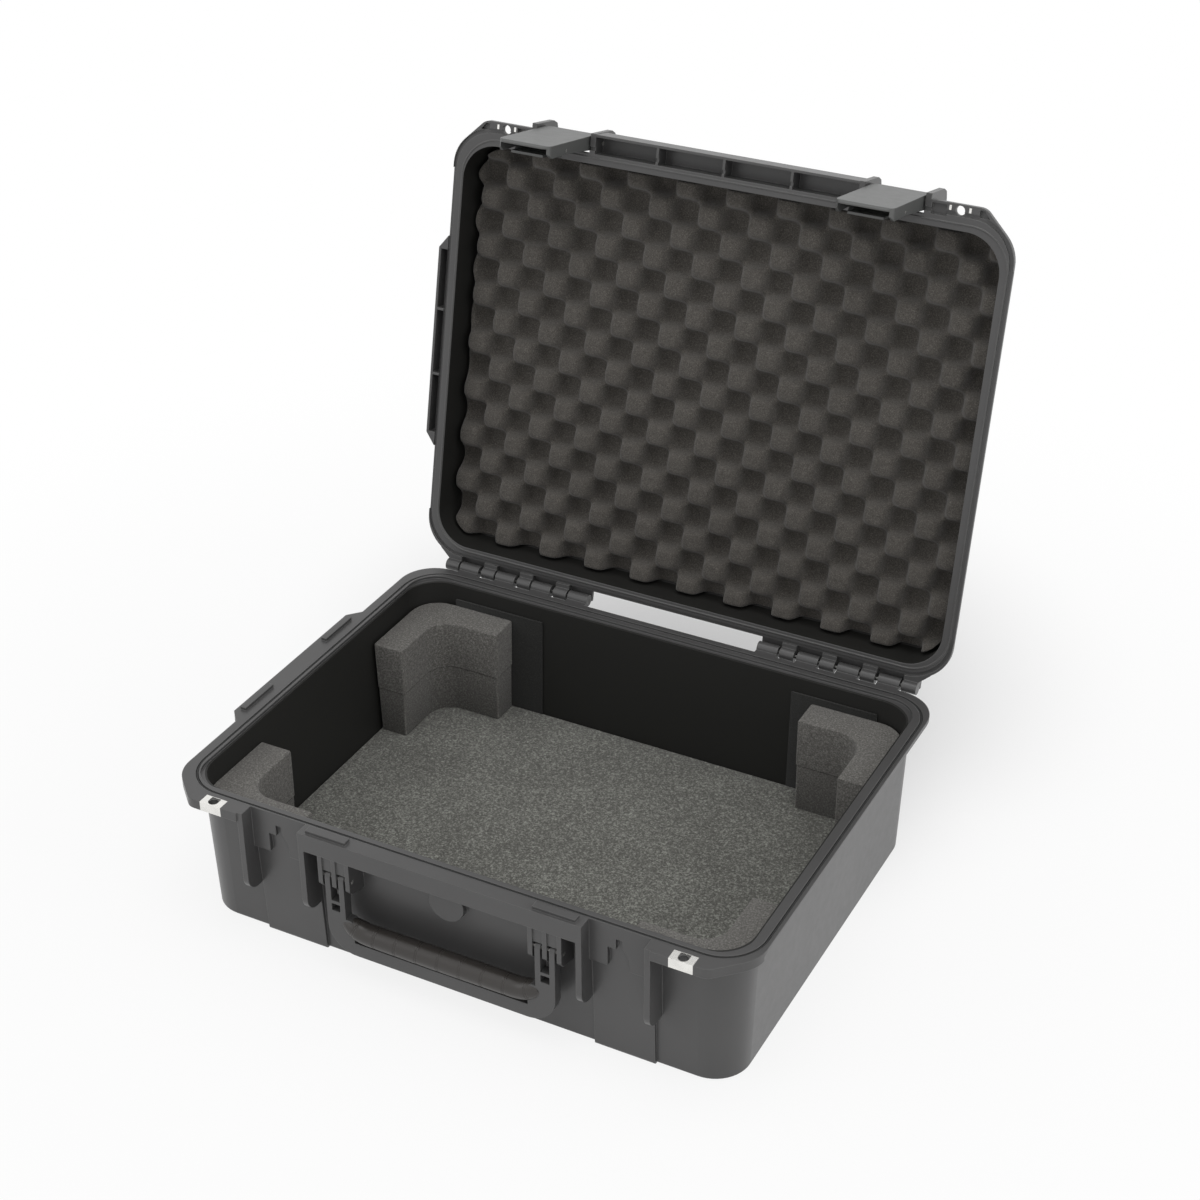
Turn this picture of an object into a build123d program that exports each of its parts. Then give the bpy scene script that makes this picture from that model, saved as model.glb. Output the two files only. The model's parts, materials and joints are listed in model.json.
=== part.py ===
from build123d import *
from math import radians, tan
import os

# Moulded equipment case with a hinged lid, standing open. Millimetres, +Z up, front towards -Y.
# The origin is the middle of the base's underside.

# Base rim and body
rim_length = 579.0
rim_depth = 446.0
rim_corner = 44.0
rear_corner = 38.0
rim_thickness = 4.5
base_height = 146.0
foot_inset_x = 17.5
foot_inset_y = 20.5
foot_corner = 34.0
foot_edge = 2.0
base_draft = 1.9
wall = 4.0
floor_thickness = 4.0

# Seal groove on the base rim, its middle and the land's inner edge measured in from the rim's outer edge
seal_left = 10.3
seal_right = 4.5
seal_front = 10.4
seal_back = 7.7
seal_corner = 40.0
groove_width = 2.5
groove_depth = 3.0
land_side = 14.2
land_front = 16.8
land_back = 14.6
land_corner = 30.0
ledge_drop = 2.85

# Lid
lid_open_angle = 102.1
parting_gap = 0.3
lid_mouth_inset = 11.7
lid_mouth_front_inset = 16.6
lid_mouth_back_inset = 11.6
lid_mouth_corner = 36.0
lid_inner_depth = 51.0
lid_wall = 4.0
lid_draft = 2.0
lid_rim_thickness = 5.0
lid_top_edge = 20.0
lid_edge_recess = 3.7
lid_edge_step = 2.0
seal_lip_width = 1.4
seal_lip_drop = 0.65
gasket_height = 2.55
fit_gap = 0.3
snug_gap = 0.05

# Front shelf, lock corners and latch bays
shelf_reach = 6.0
shelf_height = 18.5
shelf_wall = 3.0
lock_reach = 7.3
lock_height = 9.5
corner_cut_x = 33.0
corner_cut_y = 24.5
cut_blend = 36.0
lock_blend = 13.0
lock_flange_run = 35.0
corner_pocket = 5.0
rib_thickness = 5.5
bay_inset = 148.5
bay_width = 58.5
bay_step = 8.0
lid_bay_step = 6.8
rib_drop = 89.0
rib_toe = 15.0
pilaster_reach = 5.0
pilaster_foot = 3.0
stop_pad_height = 3.0
stop_pad_width = 8.0
stop_pad_start = 48.0
stop_pad_end = 7.0

# Keeper plates in each latch bay, measured from the bay's left rib
keeper_drop = 44.0
keeper_wide = 17.5
keeper_shoulder = 25.4
keeper_shoulder_drop = 24.0
keeper_gap = 5.6
keeper_bridge_drop = 13.0
keeper_curve = 2.3

# Lid front flange and latch ribs
lid_flange_reach = 12.0
lid_flange_height = 20.0
lid_flange_wall = 2.5
lid_rib_reach = 12.4
lid_rib_height = 45.0
lid_rib_toe = 10.0

# Left end widening over the side handle
side_reach = 11.5
side_inset = 126.0
side_taper = 13.0
side_height = 14.0
side_pad_start = 51.0
side_pad_end = 5.0
side_pad_width = 6.0
side_pad_step = 7.4
lid_side_reach = 10.0
lid_side_height = 16.0
side_cell_share = 0.35

# Hinge
hinge_back = 10.5
hinge_web = 30.0
knuckle_radius = 6.0
hinge_inset = 194.5
hinge_pitch = 42.5
hinge_count = 4
base_knuckle = 22.0
lid_knuckle = 15.0
knuckle_gap = 2.0
hood_gap = 1.2
hood_thickness = 3.3
hood_reach = 2.5
hinge_pin_radius = 2.2
hinge_cap = 2.0
running_gap = 0.06

# Handles
handle_pin_out = 17.5
handle_pin_drop = 40.0
handle_pin_radius = 2.0
front_arm_inset = 35.5
side_arm_inset = 31.0
fin_pitch = 14.0
fin_thickness = 4.4
fin_drop = 53.0
clevis_drop = 33.8
clevis_reach = 3.4
rail_thickness = 5.2
rail_pitch = 14.0
handle_thickness = 10.0
handle_eye = 5.0
bail_drop = 79.0
bail_shoulder = 41.3
bail_corner = 28.0
bail_ease = 5.0
spine_height = 14.0
window_bar = 3.0
window_top_drop = 24.0
window_low_drop = 35.0
grip_radius = 10.3
grip_core = 6.0
grip_drop = 54.4
grip_end = 17.5
grip_segment = 22.0
grip_groove = 1.0

# Latches
latch_width = 55.0
latch_pivot_back = 1.5
latch_pivot_rise = 17.0
latch_eye = 7.9
latch_pin_radius = 2.0
latch_length = 99.0
latch_cap = 3.0
latch_cheek = 3.2
latch_lean = 2.2
latch_corner = 9.0
trigger_drop = 62.0
trigger_out = 1.5
trigger_boss = 3.4
trigger_pin_radius = 1.5
trigger_tab = 27.0
trigger_tab_out = 5.4
claw_drop = 9.0
claw_top = 0.6
cheek_clear = 4.8
trigger_tab_width = 34.0
trigger_tab_wall = 2.4
claw_width = 5.5
claw_reach = 6.5
spring_gap = 16.0
spring_wire = 0.9

# Padlock protectors
lock_inset = 56.5
lock_hole_back = 5.9
lock_hole_radius = 4.5
lock_plate_width = 22.3
lock_plate = 1.2
lock_plate_depth = 11.8
lock_leg = 2.2
lock_leg_out = 8.3
lock_leg_depth = 4.5
lock_leg_shift = 1.5

# Pressure valve
valve_drop = 40.0
valve_radius = 17.5
valve_pad = 1.6
valve_seal = 0.7
valve_flange = 5.0
valve_stem = 6.0
valve_stem_length = 16.0
valve_nut = 5.0

# Foam
floor_foam_thickness = 12.6
block_leg = 102.0
block_thickness = 30.0
block_inner_radius = 25.0
block_top_drop = 25.9
sheet_thickness = 2.0
sheet_top_drop = 18.9
sheet_left_inset = 157.5
sheet_right_inset = 144.5
sheet_outer_inset = 55.5
foam_gap = 0.4
lid_foam_inset = 4.0
lid_foam_back = 12.0
lid_foam_height = 30.0
lid_foam_edge = 13.0
foam_pitch_x = 52.2
foam_pitch_y = 49.8
foam_groove = 0.72

# Worked out from the sizes above
rim_x = rim_length / 2
rim_y = rim_depth / 2
foot_x = rim_x - foot_inset_x
foot_y = rim_y - foot_inset_y
bay_inner = rim_x - bay_inset
stop_pad_inner = bay_inner - stop_pad_start
stop_pad_outer = bay_inner - stop_pad_end
keeper_bottom = base_height - keeper_drop
keeper_shoulder_bottom = base_height - keeper_shoulder_drop
keeper_bridge = base_height - keeper_bridge_drop
lid_cell_pitch = (bay_inner - rib_thickness / 2) / 2
lid_mouth_front = rim_y - lid_mouth_front_inset
lid_mouth_back = rim_y - lid_mouth_back_inset
side_half = rim_y - side_inset
side_pad_inner = side_half - side_pad_start
side_pad_outer = side_half - side_pad_end
side_cell_rib = side_half * side_cell_share
hinge_start = rim_x - hinge_inset
handle_pin_height = base_height - handle_pin_drop
front_arm = bay_inner - front_arm_inset
side_arm = side_half - side_arm_inset
fin_bottom = base_height - fin_drop
clevis_bottom = base_height - clevis_drop
lock_x = rim_x - lock_inset
valve_height = base_height - valve_drop
flare = tan(radians(base_draft))
rim_bottom = base_height - rim_thickness
shelf_y = -rim_y - shelf_reach
lock_y = -rim_y - lock_reach
bay_outer = bay_inner + bay_width
bay_middle = bay_inner + bay_width / 2
bay_front = -rim_y + bay_step
lock_end = rim_x - corner_cut_x
hinge_y = rim_y + hinge_back
hinge_z = base_height
side_pad_edge = rim_x + side_pad_step
pin_bore = hinge_pin_radius + snug_gap
lid_z = base_height + parting_gap
lid_flange_y = -rim_y - lid_flange_reach
lid_rib_y = -rim_y - lid_rib_reach
lid_bay_front = -rim_y + lid_bay_step
lid_shrink = tan(radians(lid_draft))
hinge_end = hinge_start + (hinge_count - 1) * hinge_pitch + base_knuckle + knuckle_gap + lid_knuckle
bore_end = hinge_end - hinge_cap
sides = (("left", -1), ("right", 1))
here = Location()
lid_pose = Location((0, hinge_y, hinge_z), (-lid_open_angle, 0, 0)) * Location((0, -hinge_y, -hinge_z))
lid_plane = Plane(lid_pose * Plane.XY.offset(lid_z).location)
lid_up = Axis((0, 0, 0), lid_plane.z_dir)
latch_pivot_y = -rim_y - latch_pivot_back
latch_pivot_z = base_height + latch_pivot_rise
trigger_y = latch_pivot_y + trigger_out
trigger_z = latch_pivot_z - trigger_drop
lock_hole_y = lock_y + lock_hole_back
front_pose = Location((0, -foot_y - handle_pin_height * flare - handle_pin_out, handle_pin_height))
side_pin_x = -foot_x - handle_pin_height * flare - handle_pin_out
side_pose = Location((side_pin_x, 0, handle_pin_height), (0, 0, -90))


# Helpers: each adds to, or takes from, the sub-part that is being made
def block(x_span, y_span, z_span, pose=here, mode=Mode.ADD):
    spans = (x_span, y_span, z_span)
    middle = tuple((low + high) / 2 for low, high in spans)
    with Locations(pose * Location(middle)):
        Box(*(high - low for low, high in spans), mode=mode)


def outline(plane, points, corner=0.0):
    with BuildSketch(plane) as profile:
        with BuildLine():
            Polyline(*points, close=True)
        make_face()
        if corner:
            fillet(profile.vertices(), corner)
    return profile.sketch


def prism_x(x_span, points, pose=here, mode=Mode.ADD):
    plane = Plane(pose * Plane.YZ.offset(x_span[0]).location)
    extrude(outline(plane, points), amount=x_span[1] - x_span[0], mode=mode)


def prism_y(y_span, points, pose=here, mode=Mode.ADD, corner=0.0):
    plane = Plane(pose * Plane.XZ.offset(-y_span[1]).location)
    extrude(outline(plane, points, corner), amount=y_span[1] - y_span[0], mode=mode)


def prism_z(z_span, points, pose=here, mode=Mode.ADD):
    plane = Plane(pose * Plane.XY.offset(z_span[0]).location)
    extrude(outline(plane, points), amount=z_span[1] - z_span[0], mode=mode)


def rod_x(x_span, y, z, radius, pose=here, mode=Mode.ADD):
    middle = Location(((x_span[0] + x_span[1]) / 2, y, z), (0, 90, 0))
    with Locations(pose * middle):
        Cylinder(radius, x_span[1] - x_span[0], mode=mode)


def rod_z(x, y, z_span, radius, pose=here, mode=Mode.ADD):
    with Locations(pose * Location((x, y, (z_span[0] + z_span[1]) / 2))):
        Cylinder(radius, z_span[1] - z_span[0], mode=mode)


def rod_y(x, y_span, z, radius, pose=here, mode=Mode.ADD):
    with Locations(pose * Location((x, (y_span[0] + y_span[1]) / 2, z), (90, 0, 0))):
        Cylinder(radius, y_span[1] - y_span[0], mode=mode)


def ordered(first, second):
    return min(first, second), max(first, second)


def write(piece, label):
    piece.part.label = label
    export_step(piece.part, f"parts/{label}.step")


# The body's rounded outline at a height, drawn in from its outer face by an inset
def base_outline(height, inset):
    grow = height * flare - inset
    with BuildSketch(Plane.XY.offset(height)) as profile:
        RectangleRounded(2 * (foot_x + grow), 2 * (foot_y + grow), foot_corner + grow)
    return profile.sketch


def wall_y(height):
    return foot_y + height * flare


def wall_x(height):
    return foot_x + height * flare


# The rim's outline drawn in by a different distance on each side
def inset_outline(left, right, front, back, corner, mode=Mode.ADD):
    with Locations(((left - right) / 2, (front - back) / 2)):
        RectangleRounded(rim_length - left - right, rim_depth - front - back, corner, mode=mode)


# The seal's path round the rim as a band of some width
def seal_band(plane, width):
    half = width / 2
    with BuildSketch(plane) as profile:
        for grow, mode in ((half, Mode.ADD), (-half, Mode.SUBTRACT)):
            insets = [inset - grow for inset in (seal_left, seal_right, seal_front, seal_back)]
            inset_outline(*insets, seal_corner + grow, mode)
    return profile.sketch


# Places that two pieces share: the latch pivot pin, and the legs of the lid's padlock plate
def pivot_span(side):
    return ordered(side * (bay_inner - rib_thickness), side * (bay_outer + rib_thickness))


def leg_span(middle, leg, gap):
    near = middle + leg * lock_leg_out
    return ordered(near - leg * gap, near + leg * (lock_leg + gap))


def leg_depth(gap):
    middle = lock_hole_y - lock_leg_shift
    return middle - lock_leg_depth / 2 - gap, middle + lock_leg_depth / 2 + gap


# The lid's mouth outline at a depth above the parting plane
def lid_outline(depth, grow):
    shrink = depth * lid_shrink - grow
    middle = (lid_mouth_back - lid_mouth_front) / 2
    with BuildSketch(Plane(lid_pose * Plane.XY.offset(lid_z + depth).location)) as profile:
        with Locations((0, middle)):
            RectangleRounded(
                2 * (rim_x - lid_mouth_inset - shrink),
                lid_mouth_front + lid_mouth_back - 2 * shrink,
                lid_mouth_corner - shrink,
            )
    return profile.sketch


# Rim plate outline: rear corners rounded, front corners cut off and blunted
def rim_plate(plane, front, lock_front):
    bay_end = bay_outer + rib_thickness
    cut_end = -rim_y + corner_cut_y
    right = [(rim_x, cut_end), (lock_end, lock_front), (bay_end, lock_front), (bay_end, front)]
    left = [(-x, y) for x, y in reversed(right)]
    with BuildSketch(plane) as profile:
        with BuildLine():
            Polyline((-rim_x, rim_y), (rim_x, rim_y), *right, *left, close=True)
        make_face()
        fillet(profile.vertices().group_by(Axis.Y)[-1], rear_corner)
        fillet([v for v in profile.vertices() if abs(v.Y - cut_end) < fit_gap], cut_blend)
        fillet([v for v in profile.vertices() if abs(abs(v.X) - lock_end) < fit_gap], lock_blend)
    return profile.sketch


# The fins and front plate that carry one arm of a handle, in the handle's own frame
def handle_clevis(pose, arm):
    top = rim_bottom - handle_pin_height
    x_span = (arm - fin_pitch - fin_thickness / 2, arm + fin_pitch + fin_thickness / 2)
    block(x_span, (-clevis_reach, -clevis_reach + shelf_wall), (clevis_bottom - handle_pin_height, top), pose)
    low = fin_bottom - handle_pin_height
    for middle in (arm - fin_pitch, arm, arm + fin_pitch):
        prism_x(
            (middle - fin_thickness / 2, middle + fin_thickness / 2),
            [
                (handle_pin_out + wall / 2, top),
                (-handle_eye, top),
                (-handle_eye, low + handle_eye),
                (-handle_eye / 4, low),
                (handle_pin_out + wall / 2, low - handle_eye),
            ],
            pose,
        )
    rod_x(x_span, 0, 0, handle_pin_radius + snug_gap, pose, Mode.SUBTRACT)


# Base shell: body, rim, front shelf, latch bays, handle fins, side shelf and hinge knuckles
with BuildPart() as base_shell:
    loft([base_outline(0, 0), base_outline(rim_bottom, 0)], ruled=True)
    fillet(base_shell.edges().group_by(Axis.Z)[0], foot_edge)

    # Raised panels under the latches, run down to the foot
    for x_span in ((-bay_outer, -bay_inner + rib_thickness), (bay_inner, bay_outer)):
        foot = foot_y + pilaster_foot
        prism_x(
            x_span,
            [
                (-foot_y + wall / 2, 0),
                (-foot + foot_edge, 0),
                (-foot + foot_edge / 4, foot_edge / 4),
                (-foot, foot_edge),
                (-wall_y(rim_bottom) - pilaster_reach, rim_bottom),
                (-foot_y + wall / 2, rim_bottom),
            ],
        )

    # Rim plate, and the deeper flange at the lock corners
    extrude(rim_plate(Plane.XY.offset(rim_bottom), shelf_y, lock_y), amount=rim_thickness)
    with BuildSketch(Plane.XY.offset(base_height - lock_height)) as lock_flange:
        add(rim_plate(Plane.XY, shelf_y, lock_y))
        with Locations((0, -rim_y)):
            Rectangle(rim_length, 2 * lock_flange_run, mode=Mode.INTERSECT)
            Rectangle(2 * bay_outer, 2 * lock_flange_run, mode=Mode.SUBTRACT)
    extrude(amount=lock_height - rim_thickness)

    # Shelf fascia over the handle, with the stop pads on top
    block((-bay_inner, bay_inner), (shelf_y, shelf_y + shelf_wall), (base_height - shelf_height, rim_bottom))
    for name, side in sides:
        block(
            ordered(side * stop_pad_inner, side * stop_pad_outer),
            (shelf_y + shelf_wall, shelf_y + shelf_wall + stop_pad_width),
            (base_height, base_height + stop_pad_height),
        )

    # Guard ribs on both sides of each latch bay
    for name, side in sides:
        for near in (bay_inner - rib_thickness, bay_outer):
            toe = base_height - rib_drop
            with BuildSketch(Plane.YZ.offset(min(side * near, side * (near + rib_thickness)))) as rib:
                with BuildLine():
                    Polyline(
                        (shelf_y, rim_bottom),
                        (shelf_y, toe),
                        (-foot_y + wall / 2, toe),
                        (-foot_y + wall / 2, rim_bottom),
                        close=True,
                    )
                make_face()
                fillet(rib.vertices().group_by(Axis.X)[0].sort_by(Axis.Y)[0], rib_toe)
            extrude(amount=rib_thickness)

    # Latch bays: the rim stands back, and two keeper plates hang from it
    for name, side in sides:
        block(
            ordered(side * bay_inner, side * bay_outer),
            (lock_y - shelf_wall, bay_front),
            (rim_bottom - rim_thickness, base_height + stop_pad_height),
            mode=Mode.SUBTRACT,
        )
        start = min(side * bay_inner, side * bay_outer)
        bay_back = -foot_y - rim_bottom * flare + wall / 2
        gap_start = start + keeper_shoulder
        prism_y(
            (bay_front, bay_back),
            [
                (start - snug_gap, rim_bottom + snug_gap),
                (start - snug_gap, keeper_bottom),
                (start + keeper_wide, keeper_bottom),
                (start + keeper_wide, keeper_shoulder_bottom),
                (gap_start, keeper_shoulder_bottom),
                (gap_start, keeper_bridge),
                (gap_start + keeper_gap, keeper_bridge),
                (gap_start + keeper_gap, keeper_shoulder_bottom + keeper_gap / 2),
                (gap_start + 2 * keeper_gap, keeper_shoulder_bottom - keeper_gap),
                (gap_start + keeper_curve * keeper_gap, keeper_bottom),
                (start + bay_width + snug_gap, keeper_bottom),
                (start + bay_width + snug_gap, rim_bottom + snug_gap),
            ],
        )

    # Side shelf over the end handle
    side_edge = -rim_x - side_reach
    prism_z(
        (rim_bottom, base_height),
        [
            (-rim_x + wall, -side_half - side_taper),
            (-rim_x, -side_half - side_taper),
            (side_edge, -side_half),
            (side_edge, side_half),
            (-rim_x, side_half + side_taper),
            (-rim_x + wall, side_half + side_taper),
        ],
    )
    side_low = base_height - side_height
    block((side_edge, side_edge + shelf_wall), (-side_half, side_half), (side_low, rim_bottom))
    for name, side in sides:
        web = ordered(side * (side_half - shelf_wall), side * side_half)
        block((side_edge, -foot_x), web, (side_low, rim_bottom))
        block(
            (-side_pad_edge, -side_pad_edge + side_pad_width),
            ordered(side * side_pad_inner, side * side_pad_outer),
            (base_height, base_height + stop_pad_height),
        )

    # Handle fins
    for name, side in sides:
        handle_clevis(front_pose, side * front_arm)
        handle_clevis(side_pose, side * side_arm)

    # Hinge knuckles on webs that run down the back wall
    for name, side in sides:
        for step in range(hinge_count):
            start = hinge_start + step * hinge_pitch
            x_span = ordered(side * start, side * (start + base_knuckle))
            rod_x(x_span, hinge_y, hinge_z, knuckle_radius)
            prism_x(
                x_span,
                [
                    (foot_y + wall / 2, base_height - hinge_web),
                    (hinge_y - knuckle_radius / 2, hinge_z - knuckle_radius / 2),
                    (hinge_y, hinge_z),
                    (foot_y + wall / 2, base_height),
                ],
            )
        rod_x(ordered(side * hinge_start, side * bore_end), hinge_y, hinge_z, pin_bore, mode=Mode.SUBTRACT)

    # Valve seat on the front wall
    valve_wall = -wall_y(valve_height)
    rod_y(0, (valve_wall - valve_pad, valve_wall + wall / 2), valve_height, valve_radius)

    # Inside: cavity, ledge and seal groove
    loft(
        [base_outline(floor_thickness, wall), base_outline(base_height + rim_thickness, wall)],
        ruled=True,
        mode=Mode.SUBTRACT,
    )
    with BuildSketch(Plane.XY.offset(base_height - ledge_drop)):
        inset_outline(land_side, land_side, land_front, land_back, land_corner)
    extrude(amount=rim_thickness, mode=Mode.SUBTRACT)
    groove = seal_band(Plane.XY.offset(base_height), groove_width)
    extrude(groove, amount=-groove_depth, mode=Mode.SUBTRACT)

    # Holes: the valve stem, and the seats of the padlock plates with a bored core set in each
    rod_y(0, (-rim_y, -foot_y + 2 * wall), valve_height, valve_stem + snug_gap, mode=Mode.SUBTRACT)
    for name, side in sides:
        middle = side * lock_x
        seat = (middle - lock_plate_width / 2, middle + lock_plate_width / 2)
        seat_back = lock_y + lock_plate_depth
        lock_span = (base_height - lock_height, base_height)
        block(seat, (lock_y, seat_back), lock_span, mode=Mode.SUBTRACT)
        block(
            (seat[0] + snug_gap, seat[1] - snug_gap),
            (lock_y + lock_plate, seat_back - snug_gap),
            (base_height - lock_height, base_height - lock_plate),
        )
        rod_z(middle, lock_hole_y, lock_span, lock_hole_radius, mode=Mode.SUBTRACT)

write(base_shell, "base_shell")


# Lid shell, drawn closed and turned open about the hinge
with BuildPart() as lid_cavity:
    loft([lid_outline(-parting_gap, 0), lid_outline(lid_inner_depth, 0)], ruled=True)
    fillet(lid_cavity.edges().group_by(lid_up)[-1], lid_top_edge - lid_wall)

with BuildPart() as lid_shell:
    loft([lid_outline(0, lid_wall), lid_outline(lid_inner_depth + lid_wall, lid_wall)], ruled=True)
    fillet(lid_shell.edges().group_by(lid_up)[-1], lid_top_edge)
    extrude(rim_plate(lid_plane, lid_flange_y, lock_y), amount=lid_rim_thickness)

    # Hollow front flange with ribs between its cells
    flange_top = lid_z + lid_flange_height
    block((-bay_inner, bay_inner), (lid_flange_y, -lid_mouth_front), (lid_z, flange_top), lid_pose)
    for name, side in sides:
        for step in range(2):
            near = step * lid_cell_pitch + lid_flange_wall / 2
            far = min((step + 1) * lid_cell_pitch - lid_flange_wall / 2, bay_inner - rib_thickness)
            block(
                ordered(side * near, side * far),
                (lid_flange_y + lid_flange_wall, lid_bay_front),
                (lid_z, flange_top - lid_flange_wall),
                lid_pose,
                Mode.SUBTRACT,
            )

    # Latch ribs and the bays between them
    for name, side in sides:
        for near in (bay_inner - rib_thickness, bay_outer):
            rib_top = lid_z + lid_rib_height
            prism_x(
                ordered(side * near, side * (near + rib_thickness)),
                [
                    (-lid_mouth_front - lid_wall / 2, lid_z),
                    (lid_rib_y, lid_z),
                    (lid_rib_y, rib_top - lid_rib_toe),
                    (lid_rib_y + lid_rib_toe * 0.3, rib_top - lid_rib_toe * 0.3),
                    (lid_rib_y + lid_rib_toe, rib_top),
                    (-lid_mouth_front - lid_wall / 2, rib_top),
                ],
                lid_pose,
            )
        block(
            ordered(side * bay_inner, side * bay_outer),
            (lid_rib_y - wall, lid_bay_front),
            (base_height - wall, lid_z + lid_rib_height),
            lid_pose,
            Mode.SUBTRACT,
        )
        pivot_bore = latch_pin_radius + snug_gap
        rod_x(pivot_span(side), latch_pivot_y, latch_pivot_z, pivot_bore, lid_pose, Mode.SUBTRACT)

    # Widened left end with its two ribs
    lid_side_edge = -rim_x - lid_side_reach
    side_top = lid_z + lid_side_height
    prism_z(
        (lid_z, side_top),
        [
            (-rim_x + lid_wall, -side_half - side_taper),
            (-rim_x, -side_half - side_taper),
            (lid_side_edge, -side_half),
            (lid_side_edge, side_half),
            (-rim_x, side_half + side_taper),
            (-rim_x + lid_wall, side_half + side_taper),
        ],
        lid_pose,
    )
    stops = (-side_half, -side_cell_rib, side_cell_rib, side_half)
    for low, high in zip(stops, stops[1:]):
        block(
            (lid_side_edge + lid_flange_wall, -rim_x - snug_gap),
            (low + lid_flange_wall / 2, high - lid_flange_wall / 2),
            (lid_z, side_top - lid_flange_wall),
            lid_pose,
            Mode.SUBTRACT,
        )

    # Hinge knuckles, and the gussets that tie the outer ones to the rear corners
    for name, side in sides:
        for step in range(hinge_count):
            start = hinge_start + base_knuckle + knuckle_gap + step * hinge_pitch
            x_span = ordered(side * start, side * (start + lid_knuckle))
            rod_x(x_span, hinge_y, hinge_z, knuckle_radius, lid_pose)
            prism_x(
                x_span,
                [
                    (rim_y - lid_wall, lid_z),
                    (hinge_y - knuckle_radius / 2, lid_z),
                    (hinge_y, hinge_z),
                    (hinge_y, hinge_z + knuckle_radius),
                    (rim_y - lid_wall, lid_z + 2 * lid_rim_thickness),
                ],
                lid_pose,
            )
        prism_z(
            (lid_z, lid_z + lid_rim_thickness),
            [
                (side * (hinge_end - lid_knuckle), rim_y - rim_corner / 2),
                (side * (hinge_end - lid_knuckle), hinge_y),
                (side * (hinge_end - lid_knuckle / 2), hinge_y),
                (side * (rim_x - rim_corner * 0.4), rim_y - rim_corner * 0.12),
                (side * (rim_x - rim_corner * 0.4), rim_y - rim_corner / 2),
            ],
            lid_pose,
        )
        hood_low = hinge_z + knuckle_radius + hood_gap
        block(
            ordered(side * hinge_start, side * hinge_end),
            (lid_mouth_back + lid_wall / 2, hinge_y + hood_reach),
            (hood_low, hood_low + hood_thickness),
            lid_pose,
        )
        rod_x(
            ordered(side * hinge_start, side * bore_end),
            hinge_y,
            hinge_z,
            hinge_pin_radius + running_gap,
            lid_pose,
            Mode.SUBTRACT,
        )

    # Inside: cavity, step round the rim's outer edge, and the lip that presses on the gasket
    add(lid_cavity.part, mode=Mode.SUBTRACT)
    with BuildSketch(lid_plane):
        for inset, mode in ((0, Mode.ADD), (lid_edge_recess, Mode.SUBTRACT)):
            inset_outline(inset, inset, inset, inset, rim_corner - inset, mode)
    extrude(amount=lid_edge_step, mode=Mode.SUBTRACT)
    extrude(seal_band(lid_plane, seal_lip_width), amount=-seal_lip_drop)

    # Padlock holes, slots for the steel plates' legs, and pockets beside them
    for name, side in sides:
        middle = side * lock_x
        lock_span = (lid_z - wall, lid_z + 2 * wall)
        rod_z(middle, lock_hole_y, lock_span, lock_hole_radius, lid_pose, Mode.SUBTRACT)
        for leg in (-1, 1):
            block(leg_span(middle, leg, snug_gap), leg_depth(snug_gap), lock_span, lid_pose, Mode.SUBTRACT)
        near = side * (bay_outer + rib_thickness + lid_flange_wall / 2)
        far = side * (lock_x - lock_plate_width / 2 - lid_flange_wall / 2)
        block(
            ordered(near, far),
            (lock_y + lid_flange_wall, lid_bay_front - lid_flange_wall / 2),
            (lid_z, lid_z + lid_rim_thickness - lid_flange_wall / 2),
            lid_pose,
            Mode.SUBTRACT,
        )
        corner = [
            (lock_end - corner_pocket, lock_y + lid_flange_wall),
            (lock_end - lid_flange_wall / 4, lock_y + lid_flange_wall),
            (lock_end + corner_pocket, -rim_y + lid_edge_recess / 2),
            (lock_end - corner_pocket, -rim_y + lid_edge_recess / 2),
        ]
        prism_z(
            (lid_z, lid_z + lid_rim_thickness - lid_flange_wall / 2),
            [(side * x, y) for x, y in corner],
            lid_pose,
            Mode.SUBTRACT,
        )

write(lid_shell, "lid_shell")

# Seal ring laid in the groove of the base rim
with BuildPart() as rim_gasket:
    gasket_plane = Plane.XY.offset(base_height - groove_depth + snug_gap)
    extrude(seal_band(gasket_plane, groove_width - 2 * snug_gap), amount=gasket_height)
write(rim_gasket, "rim_gasket")

for name, side in sides:
    with BuildPart() as hinge_pin:
        pin_span = ordered(side * (hinge_start + snug_gap), side * (bore_end - snug_gap))
        rod_x(pin_span, hinge_y, hinge_z, hinge_pin_radius)
    write(hinge_pin, f"hinge_pin_{name}")


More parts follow.
